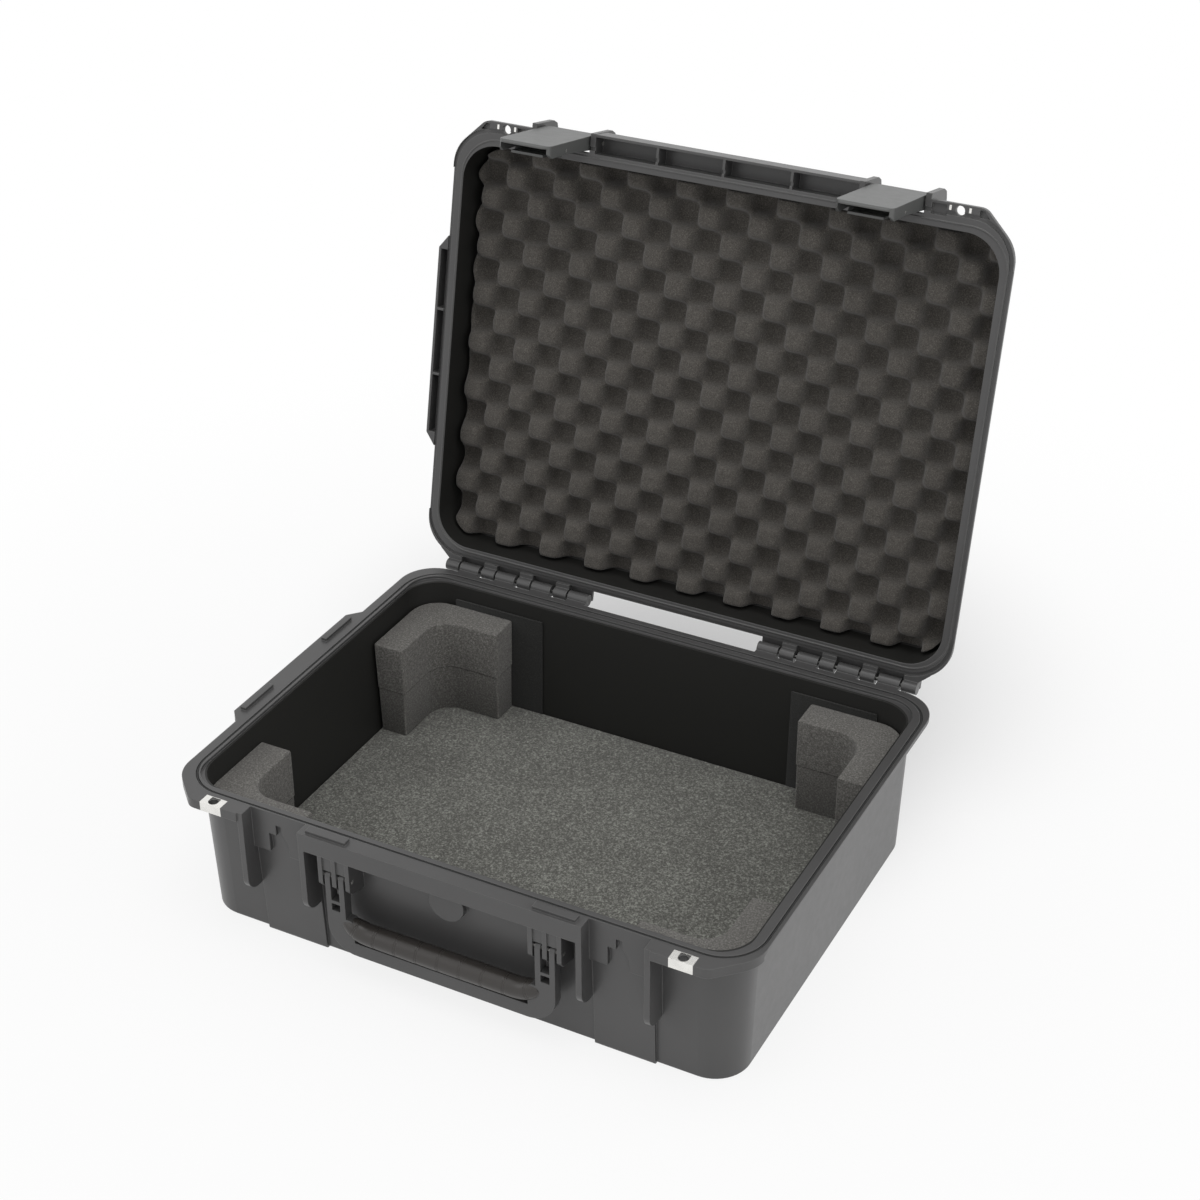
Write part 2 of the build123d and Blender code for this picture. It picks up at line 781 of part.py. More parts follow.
# Latch lever: cap, two cheeks and the barrel that turns on the pivot pin
def latch_lever(side):
    middle = side * bay_middle
    x_span = (middle - latch_width / 2, middle + latch_width / 2)
    cap_top = latch_pivot_y - latch_eye
    cap_foot = cap_top + latch_lean
    low = latch_pivot_z - latch_length
    cheek = bay_front - cheek_clear
    with BuildPart() as lever:
        prism_x(
            x_span,
            [
                (cap_top, latch_pivot_z),
                (cap_foot, low + latch_cap),
                (cap_foot + latch_cap / 2, low),
                (cap_foot + 2 * latch_cap, low),
                (cheek + latch_cap / 2, low + 3 * latch_cap),
                (cheek, trigger_z - trigger_boss),
                (cheek, trigger_z + trigger_boss),
                (latch_pivot_y + latch_eye - latch_cap / 2, latch_pivot_z - latch_eye),
                (latch_pivot_y, latch_pivot_z),
            ],
            lid_pose,
        )
        rod_x(x_span, latch_pivot_y, latch_pivot_z, latch_eye, lid_pose)
        prism_x(
            (x_span[0] + latch_cheek, x_span[1] - latch_cheek),
            [
                (cap_top + latch_cap, latch_pivot_z - latch_eye - latch_cap),
                (cap_foot + latch_cap, low - latch_cap),
                (bay_front, low - latch_cap),
                (bay_front, latch_pivot_z - latch_eye - latch_cap),
            ],
            lid_pose,
            Mode.SUBTRACT,
        )
        high = latch_pivot_z + 2 * latch_eye
        prism_y(
            (cap_top - wall, bay_front),
            [(x_span[0], low), (x_span[1], low), (x_span[1], high), (x_span[0], high)],
            lid_pose,
            Mode.INTERSECT,
            latch_corner,
        )
        rod_x(x_span, latch_pivot_y, latch_pivot_z, latch_pin_radius + running_gap, lid_pose, Mode.SUBTRACT)
        rod_x(x_span, trigger_y, trigger_z, trigger_pin_radius + snug_gap, lid_pose, Mode.SUBTRACT)
    return lever


# Trigger: two bosses on the pin, a claw at each end and a finger tab between them
def latch_trigger(side):
    middle = side * bay_middle
    half = latch_width / 2 - latch_cheek - 2 * fit_gap
    with BuildPart() as trigger:
        for end in (-1, 1):
            boss = ordered(middle + end * spring_gap / 2, middle + end * half)
            rod_x(boss, trigger_y, trigger_z, trigger_boss, lid_pose)
            prism_x(
                ordered(middle + end * (half - claw_width), middle + end * half),
                [
                    (trigger_y, trigger_z - trigger_boss),
                    (trigger_y + claw_reach, trigger_z - claw_drop),
                    (trigger_y + claw_reach, trigger_z - claw_top),
                    (trigger_y, trigger_z - claw_top),
                ],
                lid_pose,
            )
        tab_face = trigger_y + trigger_tab_out
        prism_x(
            (middle - trigger_tab_width / 2, middle + trigger_tab_width / 2),
            [
                (trigger_y + trigger_tab_wall / 4, trigger_z - trigger_boss),
                (trigger_y + trigger_boss, trigger_z - trigger_boss / 4),
                (tab_face, trigger_z - 2 * trigger_boss),
                (tab_face, trigger_z - trigger_tab),
                (tab_face - trigger_tab_wall, trigger_z - trigger_tab),
                (tab_face - trigger_tab_wall, trigger_z - 3 * trigger_boss),
            ],
            lid_pose,
        )
        bore = (middle - half, middle + half)
        rod_x(bore, trigger_y, trigger_z, trigger_pin_radius + running_gap, lid_pose, Mode.SUBTRACT)
    return trigger


# Torsion spring between the trigger's bosses, its leg against the cap
def trigger_spring(side):
    middle = side * bay_middle
    half = spring_gap / 2 - fit_gap
    outer = trigger_pin_radius + snug_gap + spring_wire
    leg = latch_pivot_y - latch_eye + latch_cap + latch_lean
    with BuildPart() as spring:
        rod_x((middle - half, middle + half), trigger_y, trigger_z, outer, lid_pose)
        block(
            (middle - half, middle - half + spring_wire),
            (leg, trigger_y),
            (trigger_z + outer - spring_wire, trigger_z + outer),
            lid_pose,
        )
        rod_x(
            (middle - half, middle + half),
            trigger_y,
            trigger_z,
            trigger_pin_radius + snug_gap,
            lid_pose,
            Mode.SUBTRACT,
        )
    return spring


for name, side in sides:
    write(latch_lever(side), f"latch_lever_{name}")
    write(latch_trigger(side), f"latch_trigger_{name}")
    write(trigger_spring(side), f"trigger_spring_{name}")
    with BuildPart() as pivot_pin:
        rod_x(pivot_span(side), latch_pivot_y, latch_pivot_z, latch_pin_radius, lid_pose)
    write(pivot_pin, f"latch_pivot_pin_{name}")
    with BuildPart() as trigger_pin:
        middle = side * bay_middle
        x_span = (middle - latch_width / 2, middle + latch_width / 2)
        rod_x(x_span, trigger_y, trigger_z, trigger_pin_radius, lid_pose)
    write(trigger_pin, f"trigger_pin_{name}")


# Handle bail in its own frame: pivot axis along X at the origin, outward towards -Y
def handle_frame(pose, arm):
    half = handle_thickness / 2
    outer = arm + rail_pitch / 2 + rail_thickness / 2
    inner = arm - rail_pitch / 2 - rail_thickness / 2
    grip_x = arm - grip_end
    with BuildPart() as frame:
        with BuildSketch(Plane(pose * Plane.XZ.offset(-half).location)) as bail:
            with BuildLine():
                Polyline(
                    (-outer, -bail_shoulder),
                    (-outer, -bail_drop),
                    (outer, -bail_drop),
                    (outer, -bail_shoulder),
                    (grip_x, -bail_shoulder),
                    (grip_x, -bail_drop + spine_height),
                    (-grip_x, -bail_drop + spine_height),
                    (-grip_x, -bail_shoulder),
                    close=True,
                )
            make_face()
            fillet(bail.vertices().group_by(Axis.Y)[0], bail_corner)
            inside = [v for v in bail.vertices() if abs(abs(v.X) - grip_x) < fit_gap]
            fillet([v for v in inside if abs(v.Y) < bail_shoulder + 1], bail_ease)
        extrude(amount=handle_thickness)
        for end in (-1, 1):
            for middle in (arm - rail_pitch / 2, arm + rail_pitch / 2):
                rail = ordered(end * (middle - rail_thickness / 2), end * (middle + rail_thickness / 2))
                block(rail, (-half, half), (-bail_shoulder, 0), pose)
                rod_x(rail, 0, 0, handle_eye, pose)
            arm_span = ordered(end * inner, end * outer)
            block(arm_span, (-half, half), (-window_top_drop - window_bar, -window_top_drop), pose)
            block(arm_span, (-half, half), (-bail_shoulder, -window_low_drop), pose)
        rod_x((-grip_x, grip_x), 0, -grip_drop, grip_core, pose)
        rod_x((-outer, outer), 0, 0, handle_pin_radius + running_gap, pose, Mode.SUBTRACT)
    return frame


# Ribbed grip: a sleeve round the core with a pair of grooves between its segments
def handle_grip(pose, arm):
    reach = arm - grip_end - snug_gap
    count = round(2 * reach / grip_segment)
    pitch = 2 * reach / count
    rim = grip_radius - grip_groove
    points = [(-reach, grip_core + snug_gap), (-reach, rim), (-reach + grip_groove, grip_radius)]
    for step in range(1, count):
        for line in (-2 * grip_groove, 2 * grip_groove):
            middle = -reach + step * pitch + line
            for across, height in ((-grip_groove, grip_radius), (0, rim), (grip_groove, grip_radius)):
                points.append((middle + across, height))
    points += [(reach - grip_groove, grip_radius), (reach, rim), (reach, grip_core + snug_gap)]
    plane = Plane(pose * Location((0, 0, -grip_drop)) * Plane.XZ.location)
    with BuildPart() as grip:
        revolve(outline(plane, points), axis=Axis(plane.origin, plane.x_dir))
    return grip


for label, pose, arm, ends in (
    ("front_handle", front_pose, front_arm, ("left", "right")),
    ("side_handle", side_pose, side_arm, ("rear", "front")),
):
    write(handle_frame(pose, arm), f"{label}_frame")
    write(handle_grip(pose, arm), f"{label}_grip")
    for name, end in zip(ends, (-1, 1)):
        with BuildPart() as handle_pin:
            reach = fin_pitch + fin_thickness / 2
            rod_x(ordered(end * (arm - reach), end * (arm + reach)), 0, 0, handle_pin_radius, pose)
        write(handle_pin, f"{label}_pin_{name}")


# Padlock protectors: a wrap plate on the base and a plate with two legs on the lid
for name, side in sides:
    middle = side * lock_x
    seat = (middle - lock_plate_width / 2 + snug_gap, middle + lock_plate_width / 2 - snug_gap)
    with BuildPart() as padlock_plate_base:
        block(
            seat,
            (lock_y, lock_y + lock_plate_depth - snug_gap),
            (base_height - lock_plate + snug_gap, base_height),
        )
        block(seat, (lock_y, lock_y + lock_plate - snug_gap), (base_height - lock_height, base_height))
        slot = lock_hole_radius + fit_gap
        lock_span = (base_height - 2 * lock_plate, base_height)
        rod_z(middle, lock_hole_y, lock_span, slot, mode=Mode.SUBTRACT)
        block((middle - slot, middle + slot), (lock_hole_y, -rim_y + wall), lock_span, mode=Mode.SUBTRACT)
    write(padlock_plate_base, f"padlock_plate_base_{name}")
    with BuildPart() as padlock_plate_lid:
        plate_low = lid_z + lid_rim_thickness + snug_gap
        lock_span = (plate_low, plate_low + lock_plate)
        block(seat, (lock_y + lock_plate, lock_y + lock_plate_depth), lock_span, lid_pose)
        for leg in (-1, 1):
            block(leg_span(middle, leg, 0), leg_depth(0), (lid_z, plate_low + lock_plate), lid_pose)
        rod_z(middle, lock_hole_y, lock_span, lock_hole_radius, lid_pose, Mode.SUBTRACT)
    write(padlock_plate_lid, f"padlock_plate_lid_{name}")


# Pressure valve through the front wall
seat_y = -wall_y(valve_height) - valve_pad
with BuildPart() as pressure_valve_body:
    rod_y(0, (seat_y - valve_seal - valve_flange, seat_y - valve_seal), valve_height, valve_radius)
    rod_y(0, (seat_y - valve_seal, seat_y - valve_seal + valve_stem_length), valve_height, valve_stem)
    fillet(pressure_valve_body.edges().group_by(Axis.Y)[0], valve_seal)
write(pressure_valve_body, "pressure_valve_body")
with BuildPart() as pressure_valve_seal:
    seal_span = (seat_y - valve_seal + snug_gap, seat_y - snug_gap)
    rod_y(0, seal_span, valve_height, 2 * valve_stem)
    rod_y(0, seal_span, valve_height, valve_stem + snug_gap, mode=Mode.SUBTRACT)
write(pressure_valve_seal, "pressure_valve_seal")
with BuildPart() as pressure_valve_nut:
    nut_front = -wall_y(valve_height) + wall + 2 * fit_gap
    with BuildSketch(Plane.XZ.offset(-nut_front - valve_nut)):
        with Locations((0, valve_height)):
            RegularPolygon(2 * valve_stem - fit_gap, 6)
            Circle(valve_stem + snug_gap, mode=Mode.SUBTRACT)
    extrude(amount=valve_nut)
write(pressure_valve_nut, "pressure_valve_nut")


# Floor pad, cut to the tapering body
floor_top = floor_thickness + snug_gap + floor_foam_thickness
with BuildPart() as floor_foam:
    loft(
        [base_outline(floor_thickness + snug_gap, wall + foam_gap), base_outline(floor_top, wall + foam_gap)],
        ruled=True,
    )
write(floor_foam, "floor_foam")


# Corner block: two legs along the walls with a rounded inner corner, cut to the tapering body
def corner_block(side, end):
    low = floor_top + snug_gap
    high = base_height - block_top_drop
    back_gap = foam_gap + sheet_thickness + snug_gap if end > 0 else foam_gap
    inner_x = wall_x(low) - wall - block_thickness
    inner_y = wall_y(low) - wall - block_thickness
    leg_x = wall_x(low) - wall - block_leg
    leg_y = wall_y(low) - wall - block_leg
    with BuildPart() as corner:
        with BuildSketch(Plane.XY.offset(low)) as legs:
            with BuildLine():
                Polyline(
                    (side * leg_x, end * rim_y),
                    (side * leg_x, end * inner_y),
                    (side * inner_x, end * inner_y),
                    (side * inner_x, end * leg_y),
                    (side * rim_x, end * leg_y),
                    (side * rim_x, end * rim_y),
                    close=True,
                )
            make_face()
            bend = [v for v in legs.vertices() if abs(v.X) < inner_x + 1 and abs(v.Y) < inner_y + 1]
            fillet([v for v in bend if abs(v.X) > leg_x + 1 and abs(v.Y) > leg_y + 1], block_inner_radius)
        extrude(amount=high - low)
        loft(
            [base_outline(low, wall + back_gap), base_outline(high, wall + back_gap)],
            ruled=True,
            mode=Mode.INTERSECT,
        )
    return corner


for name, side in sides:
    write(corner_block(side, 1), f"corner_block_back_{name}")
    write(corner_block(side, -1), f"corner_block_front_{name}")


# Backing sheets on the back wall, leaning with its draft
for name, x_span in (
    ("left", (sheet_outer_inset - rim_x, sheet_left_inset - rim_x)),
    ("right", (rim_x - sheet_right_inset, rim_x - sheet_outer_inset)),
):
    low = floor_top + snug_gap
    high = base_height - sheet_top_drop
    with BuildPart() as backing_sheet:
        prism_x(
            x_span,
            [
                (wall_y(low) - wall - foam_gap, low),
                (wall_y(high) - wall - foam_gap, high),
                (wall_y(high) - wall - foam_gap - sheet_thickness, high),
                (wall_y(low) - wall - foam_gap - sheet_thickness, low),
            ],
        )
    write(backing_sheet, f"backing_sheet_{name}")


# Lid foam: a pad whose face is cut by two crossing families of grooves into rows of peaks
with BuildPart() as lid_foam:
    foam_root = lid_inner_depth - snug_gap
    foam_face = lid_inner_depth - lid_foam_height
    loft([lid_outline(foam_root, -lid_foam_inset), lid_outline(foam_face, -lid_foam_inset)], ruled=True)
    fillet(lid_foam.edges().group_by(lid_up)[-1], lid_foam_edge)
    step = (foam_pitch_x**2 + foam_pitch_y**2) ** 0.5 / 2
    spacing = foam_pitch_x * foam_pitch_y / (4 * step)
    reach = rim_length
    count = 2 * round(reach / (3 * spacing))
    depth = lid_foam_height - lid_foam_back
    for slope in (-1, 1):
        across = Vector(foam_pitch_y, slope * foam_pitch_x, 0).normalized()
        middle = Vector(0, (lid_mouth_back - lid_mouth_front) / 2, lid_z + foam_face)
        groove_plane = Plane(origin=middle, x_dir=across, z_dir=Vector(-across.Y, across.X, 0))
        rise = 1 if groove_plane.y_dir.Z > 0 else -1
        with BuildSketch(Plane(lid_pose * groove_plane.location)):
            with GridLocations(2 * spacing, 0, count, 1):
                Polygon(
                    (-foam_groove * spacing, -rise * fit_gap),
                    (foam_groove * spacing, -rise * fit_gap),
                    (0, rise * depth),
                    align=None,
                )
        extrude(amount=reach, both=True, mode=Mode.SUBTRACT)
write(lid_foam, "lid_foam")
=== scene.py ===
# Pedalboard case standing open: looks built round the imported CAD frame.
# Metres, +Z up, front towards -Y, origin in the middle of the base's underside.
import json
import math

import bmesh
import bpy
from mathutils import Matrix, Vector


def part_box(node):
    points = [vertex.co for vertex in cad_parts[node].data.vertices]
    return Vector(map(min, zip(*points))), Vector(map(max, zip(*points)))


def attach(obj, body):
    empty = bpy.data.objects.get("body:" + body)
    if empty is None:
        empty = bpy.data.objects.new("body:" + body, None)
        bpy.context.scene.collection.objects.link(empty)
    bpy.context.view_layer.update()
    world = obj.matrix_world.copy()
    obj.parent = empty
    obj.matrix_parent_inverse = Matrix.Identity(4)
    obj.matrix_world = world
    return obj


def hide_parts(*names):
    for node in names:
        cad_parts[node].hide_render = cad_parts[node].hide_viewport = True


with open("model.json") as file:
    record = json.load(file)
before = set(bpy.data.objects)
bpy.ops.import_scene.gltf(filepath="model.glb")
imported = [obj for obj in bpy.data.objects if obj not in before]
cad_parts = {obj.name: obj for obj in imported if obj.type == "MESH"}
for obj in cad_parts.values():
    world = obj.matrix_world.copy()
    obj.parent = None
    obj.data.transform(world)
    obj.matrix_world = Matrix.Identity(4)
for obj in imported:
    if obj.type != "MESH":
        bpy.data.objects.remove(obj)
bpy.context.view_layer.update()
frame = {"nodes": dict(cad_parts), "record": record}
cadNodes = frame["nodes"]


# Camera, lights and floor

viewpoint = {
    "place": (0.83594, -1.51937, 1.35560),
    "azimuth": 27.64,
    "elevation": 31.34,
    "roll": -0.25,
    "lens": 68.227,
    "sensor": 36.0,
}
studio = {
    "sky": 0.66,
    "floorSize": 14.0,
    "floorColor": 0.86,
    "floorGlow": (0.84, 1.0),  # share of plain white near the case and far from it
    "floorFade": (0.45, 1.2),  # where the first ends and the second begins
    "shadePlace": (-0.05, 0.40, 0.0),  # middle of the darker patch behind the case
    "shadeGlow": (0.12, 1.0),
    "shadeFade": (0.10, 0.50),
    "lamps": {
        "overheadLamp": {"place": (0.3, -0.4, 2.6), "aim": (0, 0, 0.1), "size": 1.8, "power": 21.0},
        "leftLamp": {"place": (-2.2, -1.8, 1.7), "aim": (0, 0, 0.2), "size": 1.4, "power": 9.0},
        "rightLamp": {"place": (2.6, 0.3, 1.2), "aim": (0.2, 0, 0.1), "size": 1.5, "power": 12.0},
    },
}


def addCamera(look):
    azimuth, elevation, roll = (math.radians(look[key]) for key in ("azimuth", "elevation", "roll"))
    level = math.cos(elevation)
    back = Vector((math.sin(azimuth) * level, -math.cos(azimuth) * level, math.sin(elevation)))
    right = Vector((0, 0, 1)).cross(back).normalized()
    up = back.cross(right)
    turnedRight = right * math.cos(roll) + up * math.sin(roll)
    turnedUp = up * math.cos(roll) - right * math.sin(roll)
    data = bpy.data.cameras.new("photoCamera")
    data.lens = look["lens"]
    data.sensor_width = look["sensor"]
    data.clip_end = 50.0
    camera = bpy.data.objects.new("photoCamera", data)
    turn = Matrix((turnedRight, turnedUp, back)).transposed().to_4x4()
    camera.matrix_world = Matrix.Translation(look["place"]) @ turn
    bpy.context.scene.collection.objects.link(camera)
    bpy.context.scene.camera = camera


def addLamp(name, lamp):
    data = bpy.data.lights.new(name, "AREA")
    data.shape = "SQUARE"
    data.size = lamp["size"]
    data.energy = lamp["power"]
    light = bpy.data.objects.new(name, data)
    towards = Vector(lamp["aim"]) - Vector(lamp["place"])
    turn = towards.to_track_quat("-Z", "Y").to_matrix().to_4x4()
    light.matrix_world = Matrix.Translation(lamp["place"]) @ turn
    bpy.context.scene.collection.objects.link(light)


def node(tree, kind, **values):
    made = tree.nodes.new(kind)
    for key, value in values.items():
        if key in made.inputs:
            made.inputs[key].default_value = value
        else:
            setattr(made, key, value)
    return made


def link(tree, source, target):
    tree.links.new(source, target)


# One step of arithmetic on sockets or plain numbers
def compute(tree, operation, first, second=None, clamp=False):
    made = node(tree, "ShaderNodeMath", operation=operation, use_clamp=clamp)
    for socket, value in zip(made.inputs, (first, second)):
        if value is None:
            continue
        if isinstance(value, (int, float)):
            socket.default_value = value
        else:
            link(tree, value, socket)
    return made.outputs[0]


# A value carried from one span to another
def spanOf(tree, value, target, source=(0.0, 1.0), kind="LINEAR"):
    made = node(tree, "ShaderNodeMapRange", interpolation_type=kind)
    for key, limit in zip(("From Min", "From Max", "To Min", "To Max"), (*source, *target)):
        made.inputs[key].default_value = limit
    link(tree, value, made.inputs["Value"])
    return made.outputs["Result"]


# One for rays that meet the backdrop from the camera, a reflection or a clear piece
def seenPlainly(tree):
    path = node(tree, "ShaderNodeLightPath")
    seen = compute(tree, "MAXIMUM", path.outputs["Is Camera Ray"], path.outputs["Is Glossy Ray"])
    return compute(tree, "MAXIMUM", seen, path.outputs["Is Transmission Ray"])


def addFloor(look):
    mesh = bpy.data.meshes.new("paleFloor")
    half = look["floorSize"] / 2
    corners = [(-half, -half, 0), (half, -half, 0), (half, half, 0), (-half, half, 0)]
    mesh.from_pydata(corners, [], [(0, 1, 2, 3)])
    floor = bpy.data.objects.new("paleFloor", mesh)
    bpy.context.scene.collection.objects.link(floor)
    material = bpy.data.materials.new("floorPaper")
    material.use_nodes = True
    tree = material.node_tree
    tree.nodes.clear()
    diffuse = node(tree, "ShaderNodeBsdfDiffuse")
    diffuse.inputs["Color"].default_value = (look["floorColor"],) * 3 + (1,)
    glow = node(tree, "ShaderNodeEmission")
    place = node(tree, "ShaderNodeTexCoord").outputs["Object"]
    away = node(tree, "ShaderNodeVectorMath", operation="LENGTH")
    link(tree, place, away.inputs[0])
    fade = spanOf(tree, away.outputs["Value"], look["floorGlow"], look["floorFade"], "SMOOTHSTEP")
    toShade = node(tree, "ShaderNodeVectorMath", operation="DISTANCE")
    link(tree, place, toShade.inputs[0])
    toShade.inputs[1].default_value = look["shadePlace"]
    shade = spanOf(tree, toShade.outputs["Value"], look["shadeGlow"], look["shadeFade"], "SMOOTHSTEP")
    share = compute(tree, "MULTIPLY", seenPlainly(tree), compute(tree, "MULTIPLY", fade, shade))
    mix = node(tree, "ShaderNodeMixShader")
    for source, target in zip((share, diffuse.outputs[0], glow.outputs[0]), mix.inputs):
        link(tree, source, target)
    link(tree, mix.outputs[0], node(tree, "ShaderNodeOutputMaterial").inputs["Surface"])
    mesh.materials.append(material)


def addSky(strength):
    world = bpy.data.worlds.new("studioSky")
    bpy.context.scene.world = world
    world.use_nodes = True
    tree = world.node_tree
    background = tree.nodes["Background"]
    background.inputs["Color"].default_value = (1, 1, 1, 1)
    link(tree, spanOf(tree, seenPlainly(tree), (strength, 1.0)), background.inputs["Strength"])


bpy.context.scene.view_settings.view_transform = "Standard"
addCamera(viewpoint)
addSky(studio["sky"])
addFloor(studio)
for lampName, lamp in studio["lamps"].items():
    addLamp(lampName, lamp)
print("studio: camera, sky, floor and", len(studio["lamps"]), "lamps")


# Finishes

lidHinge = {"y": 0.2335, "z": 0.146, "open": 102.1}

# The two hollows, whose walls get painted shade, as rounded boxes in the closed case: x and y are the corner
# circles' centres, middle is the box's own middle in y, and lean is how much the radius grows with height
baseHollow = {
    "x": 0.238,
    "y": 0.1685,
    "middle": 0.0,
    "radius": 0.032,
    "lean": 0.0332,
    "low": 0.002,
    "high": 0.1437,
}
lidHollow = {
    "x": 0.2418,
    "y": 0.1729,
    "middle": 0.0025,
    "radius": 0.038,
    "lean": -0.0349,
    "low": 0.1469,
    "high": 0.188,
}
casePlasticLook = {
    "color": (0.064, 0.063, 0.063),
    "edgeColor": (0.115, 0.115, 0.112),
    # painted shade: the colour the walls of the hollows are darkened to
    "insideShadeColor": (0.0075, 0.0073, 0.0062),
    "roughness": 0.34,
    "roughnessRange": (-0.05, 0.07),
    "insideRoughness": 0.6,
    "grain": 2600.0,
    "grainHeight": 0.00003,
    "grainStrength": 0.55,
    "edge": 0.0011,  # how wide an edge is rounded in the shading and made paler
    "paleEdgeGain": 1.5,
    "bloom": 7.0,  # slow drift of tone
    "bloomRange": (0.9, 1.1),
    "scuff": 95.0,
    "scuffFloor": 0.2,
}
latchPlasticLook = dict(casePlasticLook, color=(0.078, 0.08, 0.078), roughness=0.38, edge=0.0007)
gripRubberLook = dict(casePlasticLook, color=(0.034, 0.030, 0.027), edgeColor=(0.06, 0.055, 0.05))
gripRubberLook.update(roughness=0.36, grain=900.0, grainHeight=0.00005, edge=0.0008)
sealRubberLook = dict(casePlasticLook, color=(0.014, 0.014, 0.014), edgeColor=(0.02, 0.02, 0.02))
sealRubberLook.update(roughness=0.7, grain=3000.0, grainHeight=0.00002, edge=0.0004)
steelLook = {
    "color": (0.83, 0.82, 0.79),
    "colorRange": (0.92, 1.04),
    "roughness": 0.26,
    "roughnessRange": (-0.06, 0.08),
    "brush": (90.0, 6000.0, 90.0),
    "brushHeight": 0.00002,
    "brushStrength": 0.25,
    "edge": 0.0003,
}
# Hinge pins: steel with its colour painted dark for the shade in the narrow gaps between the knuckles
shadedPinLook = dict(steelLook, color=(0.12, 0.12, 0.115), roughness=0.4)
boardFoamLook = {
    "dark": (0.064, 0.063, 0.056),
    "middle": (0.122, 0.121, 0.109),
    "pale": (0.31, 0.318, 0.285),
    "toneStops": (0.34, 0.5, 0.7),
    "cell": 560.0,
    "cellShare": 0.25,
    "fleckShare": 0.75,
    "drift": 14.0,
    "driftShare": 0.12,
    "bump": 0.0005,
    "bumpStrength": 0.7,
    "roughness": 0.93,
    "shine": 0.25,
    "sheen": 0.15,
    "sheenRoughness": 0.6,
}
blockFoamLook = dict(boardFoamLook, dark=(0.07, 0.066, 0.061), middle=(0.115, 0.11, 0.102))
blockFoamLook.update(pale=(0.22, 0.216, 0.2), cell=760.0)
crateFoamLook = dict(boardFoamLook, dark=(0.04, 0.036, 0.031), middle=(0.068, 0.062, 0.055))
crateFoamLook.update(pale=(0.13, 0.12, 0.107), cell=1100.0, bump=0.0004, roughness=0.97)
sheetFoamLook = dict(crateFoamLook, dark=(0.008, 0.008, 0.0075), middle=(0.014, 0.014, 0.013))
sheetFoamLook.update(pale=(0.024, 0.024, 0.022))


def startMaterial(name):
    material = bpy.data.materials.new(name)
    material.use_nodes = True
    tree = material.node_tree
    place = node(tree, "ShaderNodeTexCoord").outputs["Object"]
    return material, tree, tree.nodes["Principled BSDF"], place


def noiseAt(tree, place, scale, detail=2.0, rough=0.5):
    made = node(tree, "ShaderNodeTexNoise", Scale=scale, Detail=detail, Roughness=rough)
    link(tree, place, made.inputs["Vector"])
    return made.outputs[0]


def rampOf(tree, value, stops):
    made = node(tree, "ShaderNodeValToRGB")
    ramp = made.color_ramp
    while len(ramp.elements) < len(stops):
        ramp.elements.new(0.5)
    for element, (place, color) in zip(ramp.elements, stops):
        element.position = place
        element.color = tuple(color) + (1,)
    link(tree, value, made.inputs["Fac"])
    return made.outputs["Color"]


# One inside a rounded box with leaning walls, nought outside it
def hollowMask(tree, place, box):
    split = node(tree, "ShaderNodeSeparateXYZ")
    link(tree, place, split.inputs[0])
    over = []
    for axis, reach, middle in ((0, box["x"], 0.0), (1, box["y"], box["middle"])):
        away = compute(tree, "ABSOLUTE", compute(tree, "SUBTRACT", split.outputs[axis], middle))
        away = compute(tree, "MAXIMUM", compute(tree, "SUBTRACT", away, reach), 0.0)
        over.append(compute(tree, "POWER", away, 2.0))
    height = split.outputs[2]
    rise = compute(tree, "SUBTRACT", height, box["low"])
    radius = compute(tree, "ADD", compute(tree, "MULTIPLY", rise, box["lean"]), box["radius"])
    within = compute(tree, "LESS_THAN", compute(tree, "SQRT", compute(tree, "ADD", *over)), radius)
    above = compute(tree, "GREATER_THAN", height, box["low"])
    below = compute(tree, "LESS_THAN", height, box["high"])
    return compute(tree, "MULTIPLY", within, compute(tree, "MULTIPLY", above, below))


# Mask for the painted shade: nought outside the case and one on the walls of its hollows; the lid is looked
# up as if it were closed
def insideShadeMask(tree, place):
    turn = Matrix.Rotation(math.radians(lidHinge["open"]), 3, "X")
    pivot = Vector((0, lidHinge["y"], lidHinge["z"]))
    closed = node(tree, "ShaderNodeMapping")
    closed.inputs["Location"].default_value = pivot - turn @ pivot
    closed.inputs["Rotation"].default_value = (math.radians(lidHinge["open"]), 0, 0)
    link(tree, place, closed.inputs["Vector"])
    inBase = hollowMask(tree, place, baseHollow)
    inLid = hollowMask(tree, closed.outputs[0], lidHollow)
    return compute(tree, "MAXIMUM", inBase, inLid)


# Two colours or two numbers, the second where the share is one
def mixOf(tree, share, first, second, kind="RGBA"):
    made = node(tree, "ShaderNodeMix", data_type=kind)
    link(tree, share, made.inputs["Factor"])
    slots, output = ((6, 7), 2) if kind == "RGBA" else ((2, 3), 0)
    link(tree, first, made.inputs[slots[0]])
    made.inputs[slots[1]].default_value = tuple(second) + (1,) if kind == "RGBA" else second
    return made.outputs[output]


# Fine relief on the surface, over the rounded edges where they are given
def bumpOn(tree, shader, height, strength, distance, edges=None):
    bump = node(tree, "ShaderNodeBump", Strength=strength, Distance=distance)
    link(tree, height, bump.inputs["Height"])
    if edges:
        link(tree, edges, bump.inputs["Normal"])
    link(tree, bump.outputs["Normal"], shader.inputs["Normal"])


def roughnessOf(tree, value, look):
    low, high = look["roughnessRange"]
    return spanOf(tree, value, (look["roughness"] + low, look["roughness"] + high))


# Two tones of one colour, mixed by a slow noise
def tonesOf(tree, value, color, spread):
    dark, pale = (Vector(color) * share for share in spread)
    return rampOf(tree, value, [(0.3, dark), (0.7, pale)])
